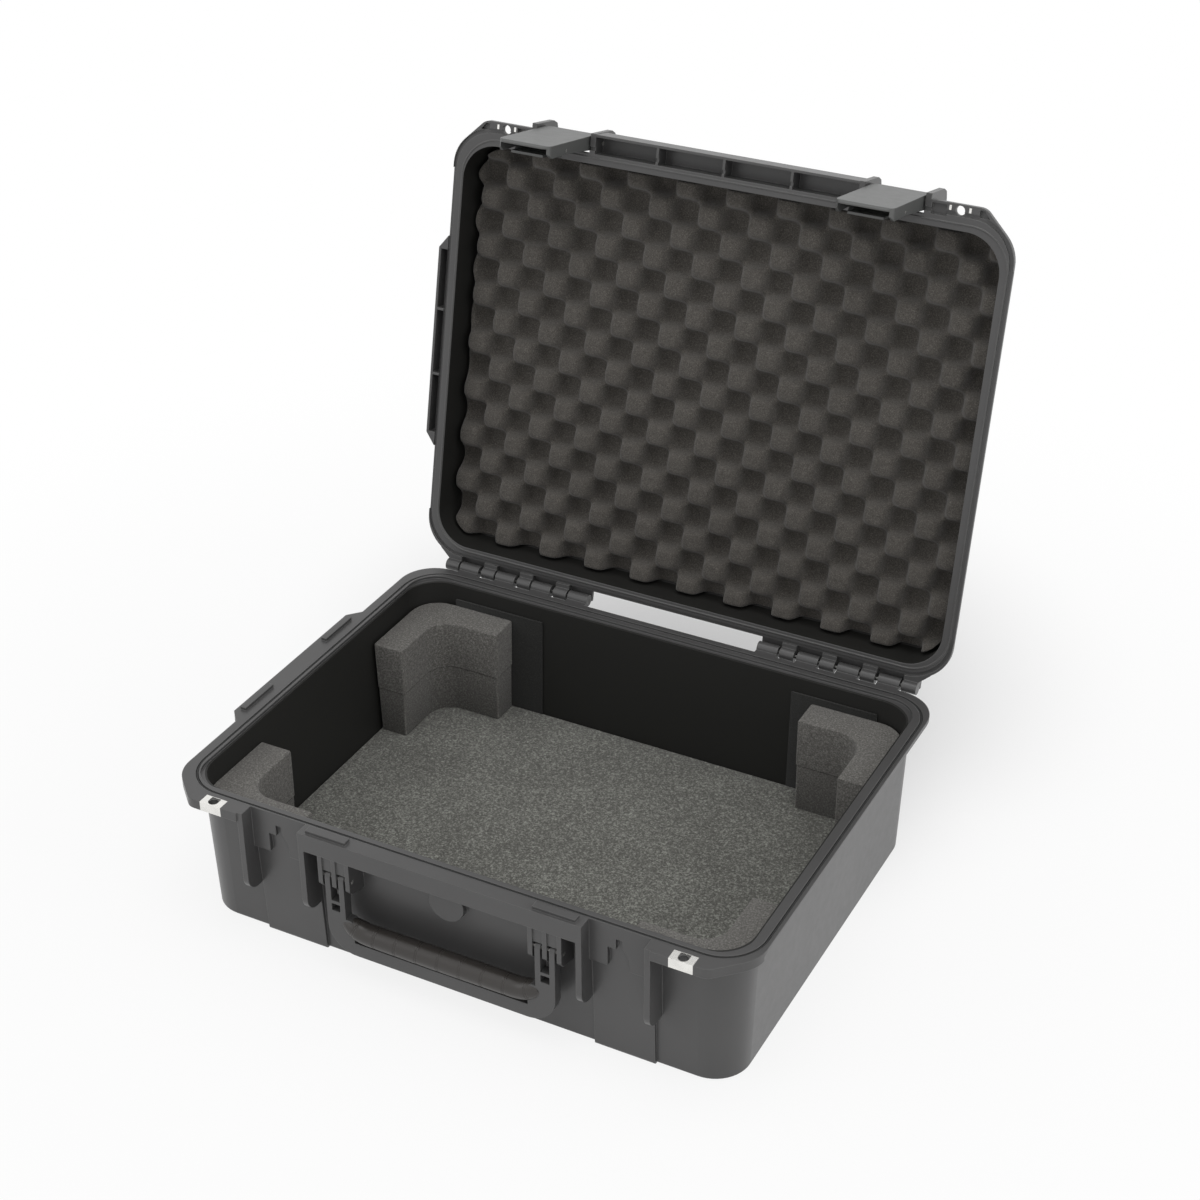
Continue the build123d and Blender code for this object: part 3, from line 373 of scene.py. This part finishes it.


# Moulded plastic or rubber: fine spark grain, a faint bloom and paler edges, and where asked painted shade
# on the walls of the case's hollows
def mouldedMaterial(name, look, shadeHollows=False):
    material, tree, shader, place = startMaterial(name)
    bloom = noiseAt(tree, place, look["bloom"], 3.0)
    scuff = noiseAt(tree, place, look["scuff"], 5.0, 0.65)
    grain = noiseAt(tree, place, look["grain"])
    soft = node(tree, "ShaderNodeBevel", samples=6, Radius=look["edge"]).outputs["Normal"]
    flat = node(tree, "ShaderNodeNewGeometry").outputs["Normal"]
    bent = node(tree, "ShaderNodeVectorMath", operation="DISTANCE")
    link(tree, soft, bent.inputs[0])
    link(tree, flat, bent.inputs[1])
    # edges made paler, more in some patches than others by the scuff noise
    paleEdge = compute(tree, "MULTIPLY", bent.outputs["Value"], look["paleEdgeGain"], clamp=True)
    paleEdge = compute(tree, "MULTIPLY", paleEdge, compute(tree, "ADD", scuff, look["scuffFloor"], clamp=True))
    ground = tonesOf(tree, bloom, look["color"], look["bloomRange"])
    color = mixOf(tree, paleEdge, ground, look["edgeColor"])
    rough = roughnessOf(tree, scuff, look)
    if shadeHollows:
        # painted shade: the walls of the hollows darkened, and given their own roughness
        inside = insideShadeMask(tree, place)
        color = mixOf(tree, inside, color, look["insideShadeColor"])
        rough = mixOf(tree, inside, rough, look["insideRoughness"], "FLOAT")
    link(tree, color, shader.inputs["Base Color"])
    link(tree, rough, shader.inputs["Roughness"])
    bumpOn(tree, shader, grain, look["grainStrength"], look["grainHeight"], soft)
    return material


# Foam: cells of mixed tone, with a few pale glints, over a slow drift of shade
def foamMaterial(name, look):
    material, tree, shader, place = startMaterial(name)
    cells = node(tree, "ShaderNodeTexVoronoi", Scale=look["cell"])
    link(tree, place, cells.inputs["Vector"])
    cells = compute(tree, "MULTIPLY", cells.outputs["Distance"], look["cellShare"])
    fleck = noiseAt(tree, place, look["cell"] * 0.7, 3.0, 0.7)
    fleck = compute(tree, "MULTIPLY", fleck, look["fleckShare"])
    drift = compute(tree, "SUBTRACT", noiseAt(tree, place, look["drift"], 3.0), 0.5)
    tone = compute(tree, "ADD", fleck, cells)
    tone = compute(tree, "ADD", tone, compute(tree, "MULTIPLY", drift, look["driftShare"]))
    stops = list(zip(look["toneStops"], (look["dark"], look["middle"], look["pale"])))
    link(tree, rampOf(tree, tone, stops), shader.inputs["Base Color"])
    shader.inputs["Roughness"].default_value = look["roughness"]
    shader.inputs["Specular IOR Level"].default_value = look["shine"]
    shader.inputs["Sheen Weight"].default_value = look["sheen"]
    shader.inputs["Sheen Roughness"].default_value = look["sheenRoughness"]
    bumpOn(tree, shader, tone, look["bumpStrength"], look["bump"])
    return material


# Steel with long fine streaks across its length
def steelMaterial(name, look):
    material, tree, shader, place = startMaterial(name)
    shader.inputs["Metallic"].default_value = 1.0
    streak = node(tree, "ShaderNodeMapping")
    streak.inputs["Scale"].default_value = look["brush"]
    link(tree, place, streak.inputs["Vector"])
    brushed = noiseAt(tree, streak.outputs[0], 1.0)
    link(tree, tonesOf(tree, brushed, look["color"], look["colorRange"]), shader.inputs["Base Color"])
    link(tree, roughnessOf(tree, brushed, look), shader.inputs["Roughness"])
    soft = node(tree, "ShaderNodeBevel", samples=4, Radius=look["edge"]).outputs["Normal"]
    bumpOn(tree, shader, brushed, look["brushStrength"], look["brushHeight"], soft)
    return material


finishes = {
    "case_plastic": mouldedMaterial("casePlastic", casePlasticLook, shadeHollows=True),
    "latch_plastic": mouldedMaterial("latchPlastic", latchPlasticLook),
    "grip_rubber": mouldedMaterial("gripRubber", gripRubberLook),
    "seal_rubber": mouldedMaterial("sealRubber", sealRubberLook),
    "steel": steelMaterial("brightSteel", steelLook),
    "block_foam": foamMaterial("boardFoam", boardFoamLook),
    "corner_foam": foamMaterial("blockFoam", blockFoamLook),
    "shaded_pin_steel": steelMaterial("shadedPins", shadedPinLook),
    "lid_foam": foamMaterial("crateFoam", crateFoamLook),
    "backing_sheet": foamMaterial("sheetFoam", sheetFoamLook),
}
for part in frame["record"]["subparts"]:
    slots = cadNodes[part["node"]].data.materials
    slots.clear()
    # hinge pins take the steel painted dark for the shade in the knuckle gaps
    shadedPin = part["node"].startswith("hinge_pin")
    slots.append(finishes["shaded_pin_steel" if shadedPin else part["material_slot"]])
print("finishes:", len(finishes))


# Helpers for pieces; the lid turns about its hinge line

lidTurn = (
    Matrix.Translation((0, lidHinge["y"], lidHinge["z"]))
    @ Matrix.Rotation(math.radians(-lidHinge["open"]), 4, "X")
    @ Matrix.Translation((0, -lidHinge["y"], -lidHinge["z"]))
)


def finishPiece(name, mesh, body, slot, nodeName, finish=None):
    mesh.materials.clear()
    mesh.materials.append(finishes[finish or slot])
    piece = bpy.data.objects.new(name, mesh)
    bpy.context.scene.collection.objects.link(piece)
    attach(piece, body)
    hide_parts(nodeName)
    return piece


def smoothMesh(name, points, faces):
    mesh = bpy.data.meshes.new(name)
    mesh.from_pydata(points, [], faces)
    mesh.update()
    mesh.polygons.foreach_set("use_smooth", [True] * len(mesh.polygons))
    return mesh


# Runs a geometry tree on a mesh once and gives back the plain mesh it makes
def grownMesh(mesh, tree, values):
    carrier = bpy.data.objects.new("carrier", mesh)
    bpy.context.scene.collection.objects.link(carrier)
    modifier = carrier.modifiers.new("grow", "NODES")
    modifier.node_group = tree
    for item in tree.interface.items_tree:
        if item.in_out == "INPUT" and item.name in values:
            modifier[item.identifier] = values[item.name]
    bpy.context.view_layer.update()
    evaluated = carrier.evaluated_get(bpy.context.evaluated_depsgraph_get())
    grown = bpy.data.meshes.new_from_object(evaluated)
    bpy.data.objects.remove(carrier)
    return grown


# Starts a geometry tree; each of the named sizes is one of its inputs
def startTree(name, sizes):
    tree = bpy.data.node_groups.new(name, "GeometryNodeTree")
    tree.interface.new_socket("Geometry", in_out="INPUT", socket_type="NodeSocketGeometry")
    tree.interface.new_socket("Geometry", in_out="OUTPUT", socket_type="NodeSocketGeometry")
    for size in sizes:
        tree.interface.new_socket(size, in_out="INPUT", socket_type="NodeSocketFloat")
    tree.interface.new_socket("finish", in_out="INPUT", socket_type="NodeSocketMaterial")
    return tree, node(tree, "NodeGroupInput").outputs


# Ends a geometry tree with a smooth, plain and painted mesh
def closeTree(tree, inputs, shape):
    smooth = node(tree, "GeometryNodeSetShadeSmooth")
    link(tree, shape, smooth.inputs["Geometry"])
    realize = node(tree, "GeometryNodeRealizeInstances")
    link(tree, smooth.outputs[0], realize.inputs[0])
    paint = node(tree, "GeometryNodeSetMaterial")
    link(tree, realize.outputs[0], paint.inputs["Geometry"])
    link(tree, inputs["finish"], paint.inputs["Material"])
    link(tree, paint.outputs[0], node(tree, "NodeGroupOutput").inputs[0])


def placeIn(tree):
    place = node(tree, "ShaderNodeSeparateXYZ")
    link(tree, node(tree, "GeometryNodeInputPosition").outputs[0], place.inputs[0])
    return place.outputs


def joinXYZ(tree, **values):
    made = node(tree, "ShaderNodeCombineXYZ")
    for key, value in values.items():
        link(tree, value, made.inputs[key.upper()])
    return made.outputs[0]


def moved(tree, shape, offset):
    made = node(tree, "GeometryNodeSetPosition")
    link(tree, shape, made.inputs["Geometry"])
    link(tree, offset, made.inputs["Offset"])
    return made.outputs[0]


# A profile swept along a path, scaled on the way where a scale is given
def sweep(tree, path, profile, caps=False, scale=None):
    made = node(tree, "GeometryNodeCurveToMesh")
    link(tree, path, made.inputs["Curve"])
    link(tree, profile, made.inputs["Profile Curve"])
    if scale:
        link(tree, scale, made.inputs["Scale"])
    made.inputs["Fill Caps"].default_value = caps
    return made.outputs[0]


# Lid foam: a pad whose face a geometry tree raises into staggered rounded peaks

lidPad = {
    "halfLength": 0.2731,
    "front": -0.2017,
    "back": 0.2067,
    "corner": 0.0313,
    "seat": 0.19715,  # height of the glued side in the closed lid
    "face": 0.1672,
    "spacing": 0.0021,
    "pitchX": 0.0527,
    "pitchY": 0.0498,
    "depth": 0.0205,
    "steepness": 3.4,
    "shiftX": 0.0035,
    "shiftY": 0.0035,
    "turn": 0.017,  # the rows run slightly askew
    # Rings round the side: how far from the face, how much of the peaks they follow, how far drawn in
    "edgeRings": ((0.0012, 1.0, 0.0006), (0.0035, 1.0, 0.0)),
    # The same, with the way from the face as a share of the pad's thickness
    "sideRings": ((0.3, 0.6, 0.0006), (0.55, 0.25, 0.002), (0.8, 0.05, 0.0055), (1.0, 0.0, 0.012)),
    "fill": 0.9,
}


def crateTree():
    sizes = ("pitchX", "pitchY", "depth", "steepness", "shiftX", "shiftY", "turn")
    tree, inputs = startTree("crateFace", sizes)
    x, y = placeIn(tree)[:2]
    alongX = compute(tree, "ADD", x, compute(tree, "MULTIPLY", y, inputs["turn"]))
    alongX = compute(tree, "SUBTRACT", alongX, inputs["shiftX"])
    alongY = compute(tree, "SUBTRACT", y, compute(tree, "MULTIPLY", x, inputs["turn"]))
    alongY = compute(tree, "SUBTRACT", alongY, inputs["shiftY"])
    waves = []
    for along, pitch in ((alongX, "pitchX"), (alongY, "pitchY")):
        turns = compute(tree, "MULTIPLY", compute(tree, "DIVIDE", along, inputs[pitch]), 2 * math.pi)
        waves.append(compute(tree, "COSINE", turns))
    wave = compute(tree, "MULTIPLY", waves[0], waves[1])
    steep = compute(tree, "TANH", compute(tree, "MULTIPLY", wave, inputs["steepness"]))
    steep = compute(tree, "DIVIDE", steep, compute(tree, "TANH", inputs["steepness"]))
    half = compute(tree, "MULTIPLY", inputs["depth"], 0.5)
    sink = compute(tree, "MULTIPLY", compute(tree, "SUBTRACT", 1.0, steep), half)
    crest = node(tree, "GeometryNodeInputNamedAttribute", data_type="FLOAT", Name="crest")
    sink = compute(tree, "MULTIPLY", sink, crest.outputs[0])
    closeTree(tree, inputs, moved(tree, inputs["Geometry"], joinXYZ(tree, z=sink)))
    return tree


# A point of a square grid, from -1 to 1 each way, drawn in to a rectangle with round corners
def roundedPlace(x, y, look, inset=0.0):
    halfX = look["halfLength"] - inset
    front, back = look["front"] + inset, look["back"] - inset
    middle, halfY = (front + back) / 2, (back - front) / 2
    corner = look["corner"] - inset
    px, py = x * halfX, y * halfY
    overX, overY = (abs(px) - (halfX - corner)) / corner, (abs(py) - (halfY - corner)) / corner
    if overX > 0 and overY > 0:
        bentX = overX * math.sqrt(1 - overY * overY / 2)
        bentY = overY * math.sqrt(1 - overX * overX / 2)
        px = math.copysign(halfX - corner + bentX * corner, px)
        py = math.copysign(halfY - corner + bentY * corner, py)
    return px, py + middle


def lidPadMesh(look):
    columns = round(2 * look["halfLength"] / look["spacing"])
    rows = round((look["back"] - look["front"]) / look["spacing"])
    points, crest, faces = [], [], []
    for row in range(rows + 1):
        for column in range(columns + 1):
            px, py = roundedPlace(2 * column / columns - 1, 2 * row / rows - 1, look)
            points.append((px, py, look["face"]))
            crest.append(1.0)
    wide = columns + 1
    for row in range(rows):
        for column in range(columns):
            first = row * wide + column
            faces.append((first, first + wide, first + wide + 1, first + 1))
    edge = list(range(columns))
    edge += [row * wide + columns for row in range(rows)]
    edge += [rows * wide + column for column in range(columns, 0, -1)]
    edge += [row * wide for row in range(rows, 0, -1)]
    height = look["seat"] - look["face"]
    rings = list(look["edgeRings"])
    rings += [(share * height, weight, inset) for share, weight, inset in look["sideRings"]]
    before = edge
    for drop, weight, inset in rings:
        level = []
        for index in edge:
            row, column = divmod(index, wide)
            px, py = roundedPlace(2 * column / columns - 1, 2 * row / rows - 1, look, inset)
            level.append(len(points))
            points.append((px, py, look["face"] + drop))
            crest.append(weight)
        for step in range(len(edge)):
            after = (step + 1) % len(edge)
            faces.append((before[step], before[after], level[after], level[step]))
        before = level
    faces.append(tuple(before))
    mesh = smoothMesh("lidPad", points, faces)
    mesh.attributes.new("crest", "FLOAT", "POINT").data.foreach_set("value", crest)
    return mesh


def addLidPad(look):
    mesh = grownMesh(lidPadMesh(look), crateTree(), dict(look, finish=finishes["lid_foam"]))
    mesh.transform(lidTurn)
    pad = finishPiece("lidPad", mesh, "lid", "lid_foam", "lid_foam")


addLidPad(lidPad)
print("lid foam: rows of peaks", lidPad["pitchX"], "by", lidPad["pitchY"])


# A closed loop round a polygon, each corner rounded by its own radius
def roundedLoop(corners, radii, steps=6):
    loop = []
    for index, (corner, radius) in enumerate(zip(corners, radii)):
        point = Vector(corner)
        before = (Vector(corners[index - 1]) - point).normalized()
        after = (Vector(corners[(index + 1) % len(corners)]) - point).normalized()
        half = before.angle(after) / 2
        centre = point + (before + after).normalized() * (radius / math.sin(half))
        start = (point + before * (radius / math.tan(half)) - centre).normalized()
        end = (point + after * (radius / math.tan(half)) - centre).normalized()
        loop += [centre + start.slerp(end, step / steps) * radius for step in range(steps + 1)]
    return loop


# Skins a stack of equal loops and closes both ends
def stackedMesh(name, loops, sharp=40.0):
    size = len(loops[0])
    points = [point for loop in loops for point in loop]
    faces = [tuple(range(size)), tuple(range(len(points) - size, len(points)))]
    for low in range(0, len(points) - size, size):
        for step in range(size):
            after = (step + 1) % size
            faces.append((low + step, low + after, low + size + after, low + size + step))
    mesh = smoothMesh(name, points, faces)
    work = bmesh.new()
    work.from_mesh(mesh)
    bmesh.ops.recalc_face_normals(work, faces=work.faces)
    work.to_mesh(mesh)
    work.free()
    mesh.set_sharp_from_angle(angle=math.radians(sharp))
    return mesh


# Foam in the base: the floor pad, and four corner blocks each glued up from two layers
basePads = {
    "edge": 0.0016,  # soft cut edge
    "floorCorner": 0.0296,
    "thickness": 0.030,
    "innerCorner": 0.025,
    "outerCorner": 0.0300,
    "endCorner": 0.0018,
    "seam": 0.068,  # height of the glued seam between the layers
    "seamGap": 0.0005,
    "lowerSetback": 0.0007,
    "flare": math.tan(math.radians(1.9)),  # the pads lean with the walls
    "fill": 1.0,
}


def addFloorPad(look):
    low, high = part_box("floor_foam")
    edge = look["edge"]
    bottom, top = low[2], high[2]
    levels = (
        (bottom, edge * 0.6),
        (bottom + edge, 0.0),
        (top - edge, 0.0),
        (top - edge * 0.3, edge * 0.3),
        (top, edge),
    )
    loops = []
    for height, inset in levels:
        lean = (top - height) * look["flare"] + inset
        x, y = high[0] - lean, high[1] - lean
        corners = [(-x, -y), (x, -y), (x, y), (-x, y)]
        outline = roundedLoop(corners, [look["floorCorner"] - lean] * 4, 10)
        loops.append([(*point, height) for point in outline])
    pad = finishPiece("floorPad", stackedMesh("floorPad", loops), "base", "block_foam", "floor_foam")


def addCornerBlock(look, name, nodeName, sideX, sideY):
    low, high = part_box(nodeName)
    bottom, top = low[2], high[2]
    outerX = max(abs(low[0]), abs(high[0]))
    outerY = max(abs(low[1]), abs(high[1]))
    spread = (top - bottom) * look["flare"]
    innerX, innerY = outerX - spread - look["thickness"], outerY - spread - look["thickness"]
    legX = min(abs(low[0]), abs(high[0]))
    legY = min(abs(low[1]), abs(high[1]))
    edge, seam = look["edge"], look["seam"]
    setback, gap = look["lowerSetback"], look["seamGap"]
    levels = (
        (bottom, setback + edge * 0.5),
        (bottom + edge * 0.6, setback),
        (seam - gap * 1.5, setback),
        (seam - gap * 0.5, setback + gap * 1.4),
        (seam, setback + gap * 2.0),
        (seam + gap * 0.5, gap * 1.6),
        (seam + gap * 1.6, 0.0),
        (top - edge, 0.0),
        (top - edge * 0.3, edge * 0.3),
        (top, edge),
    )
    loops = []
    for height, inset in levels:
        lean = (top - height) * look["flare"]
        farX, farY = outerX - lean - inset * 0.3, outerY - lean - inset * 0.3
        corners = [(legX + inset, farY), (legX + inset, innerY + inset), (innerX + inset, innerY + inset)]
        corners += [(innerX + inset, legY + inset), (farX, legY + inset), (farX, farY)]
        end = look["endCorner"]
        radii = [end, end, look["innerCorner"] + inset, end, end, look["outerCorner"] - lean]
        outline = roundedLoop(corners, radii, 8)
        loops.append([(sideX * point[0], sideY * point[1], height) for point in outline])
    block = finishPiece(name, stackedMesh(name, loops), "base", "block_foam", nodeName, "corner_foam")


addFloorPad(basePads)
for end, sideY in (("back", 1), ("front", -1)):
    for side, sideX in (("left", -1), ("right", 1)):
        blockName = f"{end}{side.capitalize()}Block"
        addCornerBlock(basePads, blockName, f"corner_block_{end}_{side}", sideX, sideY)
print("base pads: floor and four corner blocks")


# Thin sheets that stand behind the back blocks and lean with the wall
backSheet = {"thickness": 0.0020, "edge": 0.0005, "flare": basePads["flare"], "fill": 1.0}


def addBackSheet(look, name, nodeName):
    low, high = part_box(nodeName)
    lean = (high[2] - low[2]) * look["flare"]
    edge = look["edge"]
    loops = []
    for along, inset in ((low[0], 1.0), (low[0] + edge, 0.0), (high[0] - edge, 0.0), (high[0], 1.0)):
        rim = inset * edge * 0.8
        foot, head = low[2] + rim, high[2] - rim
        front, back = high[1] - look["thickness"] + rim, high[1] - rim
        corners = [(front - lean, foot), (back - lean, foot), (back, head), (front, head)]
        loops.append([(along, *point) for point in roundedLoop(corners, [edge] * 4, 3)])
    sheet = finishPiece(name, stackedMesh(name, loops), "base", "backing_sheet", nodeName)


addBackSheet(backSheet, "backSheetLeft", "backing_sheet_left")
addBackSheet(backSheet, "backSheetRight", "backing_sheet_right")
print("back sheets: 2")


# Grips: a sleeve with a pair of fine grooves between its segments and ends that taper to the frame

gripLook = {
    "pitch": 0.022,
    "lineGap": 0.0019,
    "lineWidth": 0.00075,
    "lineDepth": 0.00055,
    "crown": 0.0006,
    "extra": 0.0105,  # how far the ends run on into the frame's corners
    "bend": 0.026,
    "rise": 0.0085,
    "endLength": 0.017,
    "endDrop": 0.0042,
    "endCurve": 2.5,
    "bendCurve": 2.0,
    "crownCurve": 2.0,
    "steps": 1400,
    "sides": 48,
}


def gripTree(look):
    sizes = ("reach", "radius", "pitch", "lineGap", "lineWidth", "lineDepth")
    sizes += ("crown", "bend", "rise", "endLength", "endDrop")
    tree, inputs = startTree("gripSleeve", sizes)
    line = node(tree, "GeometryNodeCurvePrimitiveLine")
    link(tree, joinXYZ(tree, x=compute(tree, "MULTIPLY", inputs["reach"], -1.0)), line.inputs["Start"])
    link(tree, joinXYZ(tree, x=inputs["reach"]), line.inputs["End"])
    fine = node(tree, "GeometryNodeResampleCurve", Count=look["steps"])
    link(tree, line.outputs[0], fine.inputs["Curve"])
    along = placeIn(tree)[0]
    # Two grooves to a pitch, a line gap apart
    away = compute(tree, "PINGPONG", along, compute(tree, "DIVIDE", inputs["pitch"], 2.0))
    away = compute(tree, "SUBTRACT", away, compute(tree, "DIVIDE", inputs["lineGap"], 2.0))
    away = compute(tree, "DIVIDE", compute(tree, "ABSOLUTE", away), inputs["lineWidth"])
    groove = compute(tree, "MULTIPLY", compute(tree, "SUBTRACT", 1.0, away, clamp=True), inputs["lineDepth"])
    # Thinner towards the ends, and thinner still where they meet the frame
    share = compute(tree, "ABSOLUTE", compute(tree, "DIVIDE", along, inputs["reach"]))
    crown = compute(tree, "MULTIPLY", compute(tree, "POWER", share, look["crownCurve"]), inputs["crown"])
    toEnd = compute(tree, "SUBTRACT", inputs["reach"], compute(tree, "ABSOLUTE", along))
    end = compute(tree, "SUBTRACT", 1.0, compute(tree, "DIVIDE", toEnd, inputs["endLength"]), clamp=True)
    end = compute(tree, "MULTIPLY", compute(tree, "POWER", end, look["endCurve"]), inputs["endDrop"])
    radius = inputs["radius"]
    for less in (groove, crown, end):
        radius = compute(tree, "SUBTRACT", radius, less)
    # The ends bend up into the frame's corners
    lift = compute(tree, "SUBTRACT", 1.0, compute(tree, "DIVIDE", toEnd, inputs["bend"]), clamp=True)
    lift = compute(tree, "MULTIPLY", compute(tree, "POWER", lift, look["bendCurve"]), inputs["rise"])
    bent = moved(tree, fine.outputs[0], joinXYZ(tree, z=lift))
    across = node(tree, "GeometryNodeCurvePrimitiveCircle", Resolution=look["sides"])
    across.inputs["Radius"].default_value = 1.0
    closeTree(tree, inputs, sweep(tree, bent, across.outputs[0], caps=True, scale=radius))
    return tree


def addGrip(look, tree, name, nodeName, body):
    low, high = (Vector(corner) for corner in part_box(nodeName))
    size = high - low
    along = 0 if size[0] > size[1] else 1
    reach = size[along] / 2
    values = dict(look, radius=size[2] / 2, finish=finishes["grip_rubber"])
    values["pitch"] = reach / round(reach / look["pitch"])
    values["reach"] = reach + look["extra"]
    mesh = grownMesh(bpy.data.meshes.new(name), tree, values)
    turn = Matrix.Rotation(math.radians(90 * along), 4, "Z")
    mesh.transform(Matrix.Translation((low + high) / 2) @ turn)
    finishPiece(name, mesh, body, "grip_rubber", nodeName)


sleeveTree = gripTree(gripLook)
addGrip(gripLook, sleeveTree, "frontGrip", "front_handle_grip", "front_handle")
addGrip(gripLook, sleeveTree, "sideGrip", "side_handle_grip", "side_handle")
print("grips: 2, grooves every", gripLook["pitch"])


# Seals: a rounded cord laid round a rounded rectangle

rimSeal = {"width": 0.0023, "height": 0.0024, "soft": 0.0008, "corner": 0.04, "sharp": 50.0}
valveSeal = {"width": 0.0056, "height": 0.00058, "soft": 0.00025, "corner": 0.009, "sharp": 50.0}


def sealTree():
    tree, inputs = startTree("sealCord", ("length", "depth", "corner", "width", "height", "soft"))
    curves = []
    outlines = (("length", "depth", "corner", 16), ("width", "height", "soft", 4))
    for across, along, rounding, steps in outlines:
        square = node(tree, "GeometryNodeCurvePrimitiveQuadrilateral")
        link(tree, inputs[across], square.inputs["Width"])
        link(tree, inputs[along], square.inputs["Height"])
        rounded = node(tree, "GeometryNodeFilletCurve", mode="POLY", Count=steps)
        link(tree, square.outputs[0], rounded.inputs["Curve"])
        link(tree, inputs[rounding], rounded.inputs["Radius"])
        curves.append(rounded.outputs[0])
    closeTree(tree, inputs, sweep(tree, *curves))
    return tree


def addSeal(look, tree, name, nodeName, upright=False):
    low, high = (Vector(corner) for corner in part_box(nodeName))
    size = high - low
    values = dict(look, finish=finishes["seal_rubber"])
    values["length"] = size[0] - look["width"]
    values["depth"] = (size[2] if upright else size[1]) - look["width"]
    mesh = grownMesh(bpy.data.meshes.new(name), tree, values)
    turn = Matrix.Rotation(math.radians(90 if upright else 0), 4, "X")
    mesh.transform(Matrix.Translation((low + high) / 2) @ turn)
    mesh.set_sharp_from_angle(angle=math.radians(look["sharp"]))
    finishPiece(name, mesh, "base", "seal_rubber", nodeName)


cordTree = sealTree()
addSeal(rimSeal, cordTree, "rimSealCord", "rim_gasket")
addSeal(valveSeal, cordTree, "valveSealRing", "pressure_valve_seal", upright=True)
print("seals: 2")


# Trigger springs: turns of wire round the pin, with one leg against the lever's cap

springCoil = {
    "across": 0.17025,  # middle of each spring from the middle of the case
    "y": -0.223,
    "z": 0.101,
    "radius": 0.002,
    "wire": 0.00042,
    "length": 0.0145,
    "turns": 12.25,
    "leg": 0.0042,
}


def springTree():
    tree, inputs = startTree("coilSpring", ("radius", "wire", "length", "turns", "leg"))
    coil = node(tree, "GeometryNodeCurveSpiral", Resolution=28)
    link(tree, inputs["turns"], coil.inputs["Rotations"])
    link(tree, inputs["radius"], coil.inputs["Start Radius"])
    link(tree, inputs["radius"], coil.inputs["End Radius"])
    link(tree, inputs["length"], coil.inputs["Height"])
    leg = node(tree, "GeometryNodeCurvePrimitiveLine")
    tip = compute(tree, "MULTIPLY", inputs["leg"], -1.0)
    link(tree, joinXYZ(tree, x=inputs["radius"]), leg.inputs["Start"])
    link(tree, joinXYZ(tree, x=inputs["radius"], y=tip), leg.inputs["End"])
    both = node(tree, "GeometryNodeJoinGeometry")
    link(tree, coil.outputs[0], both.inputs[0])
    link(tree, leg.outputs[0], both.inputs[0])
    wire = node(tree, "GeometryNodeCurvePrimitiveCircle", Resolution=10)
    link(tree, inputs["wire"], wire.inputs["Radius"])
    closeTree(tree, inputs, sweep(tree, both.outputs[0], wire.outputs[0], caps=True))
    return tree


def addSpring(look, tree, name, nodeName, body, side):
    mesh = grownMesh(bpy.data.meshes.new(name), tree, dict(look, finish=finishes["steel"]))
    stand = Matrix(((0, 0, 1, 0), (0, 1, 0, 0), (1, 0, 0, 0), (0, 0, 0, 1)))
    start = side * look["across"] - look["length"] / 2
    mesh.transform(lidTurn @ Matrix.Translation((start, look["y"], look["z"])) @ stand)
    mesh.flip_normals()
    finishPiece(name, mesh, body, "steel", nodeName)


coilTree = springTree()
for side, sign in (("left", -1), ("right", 1)):
    addSpring(springCoil, coilTree, f"{side}SpringCoil", f"trigger_spring_{side}", f"latch_{side}", sign)
print("springs: 2 of", springCoil["turns"], "turns")
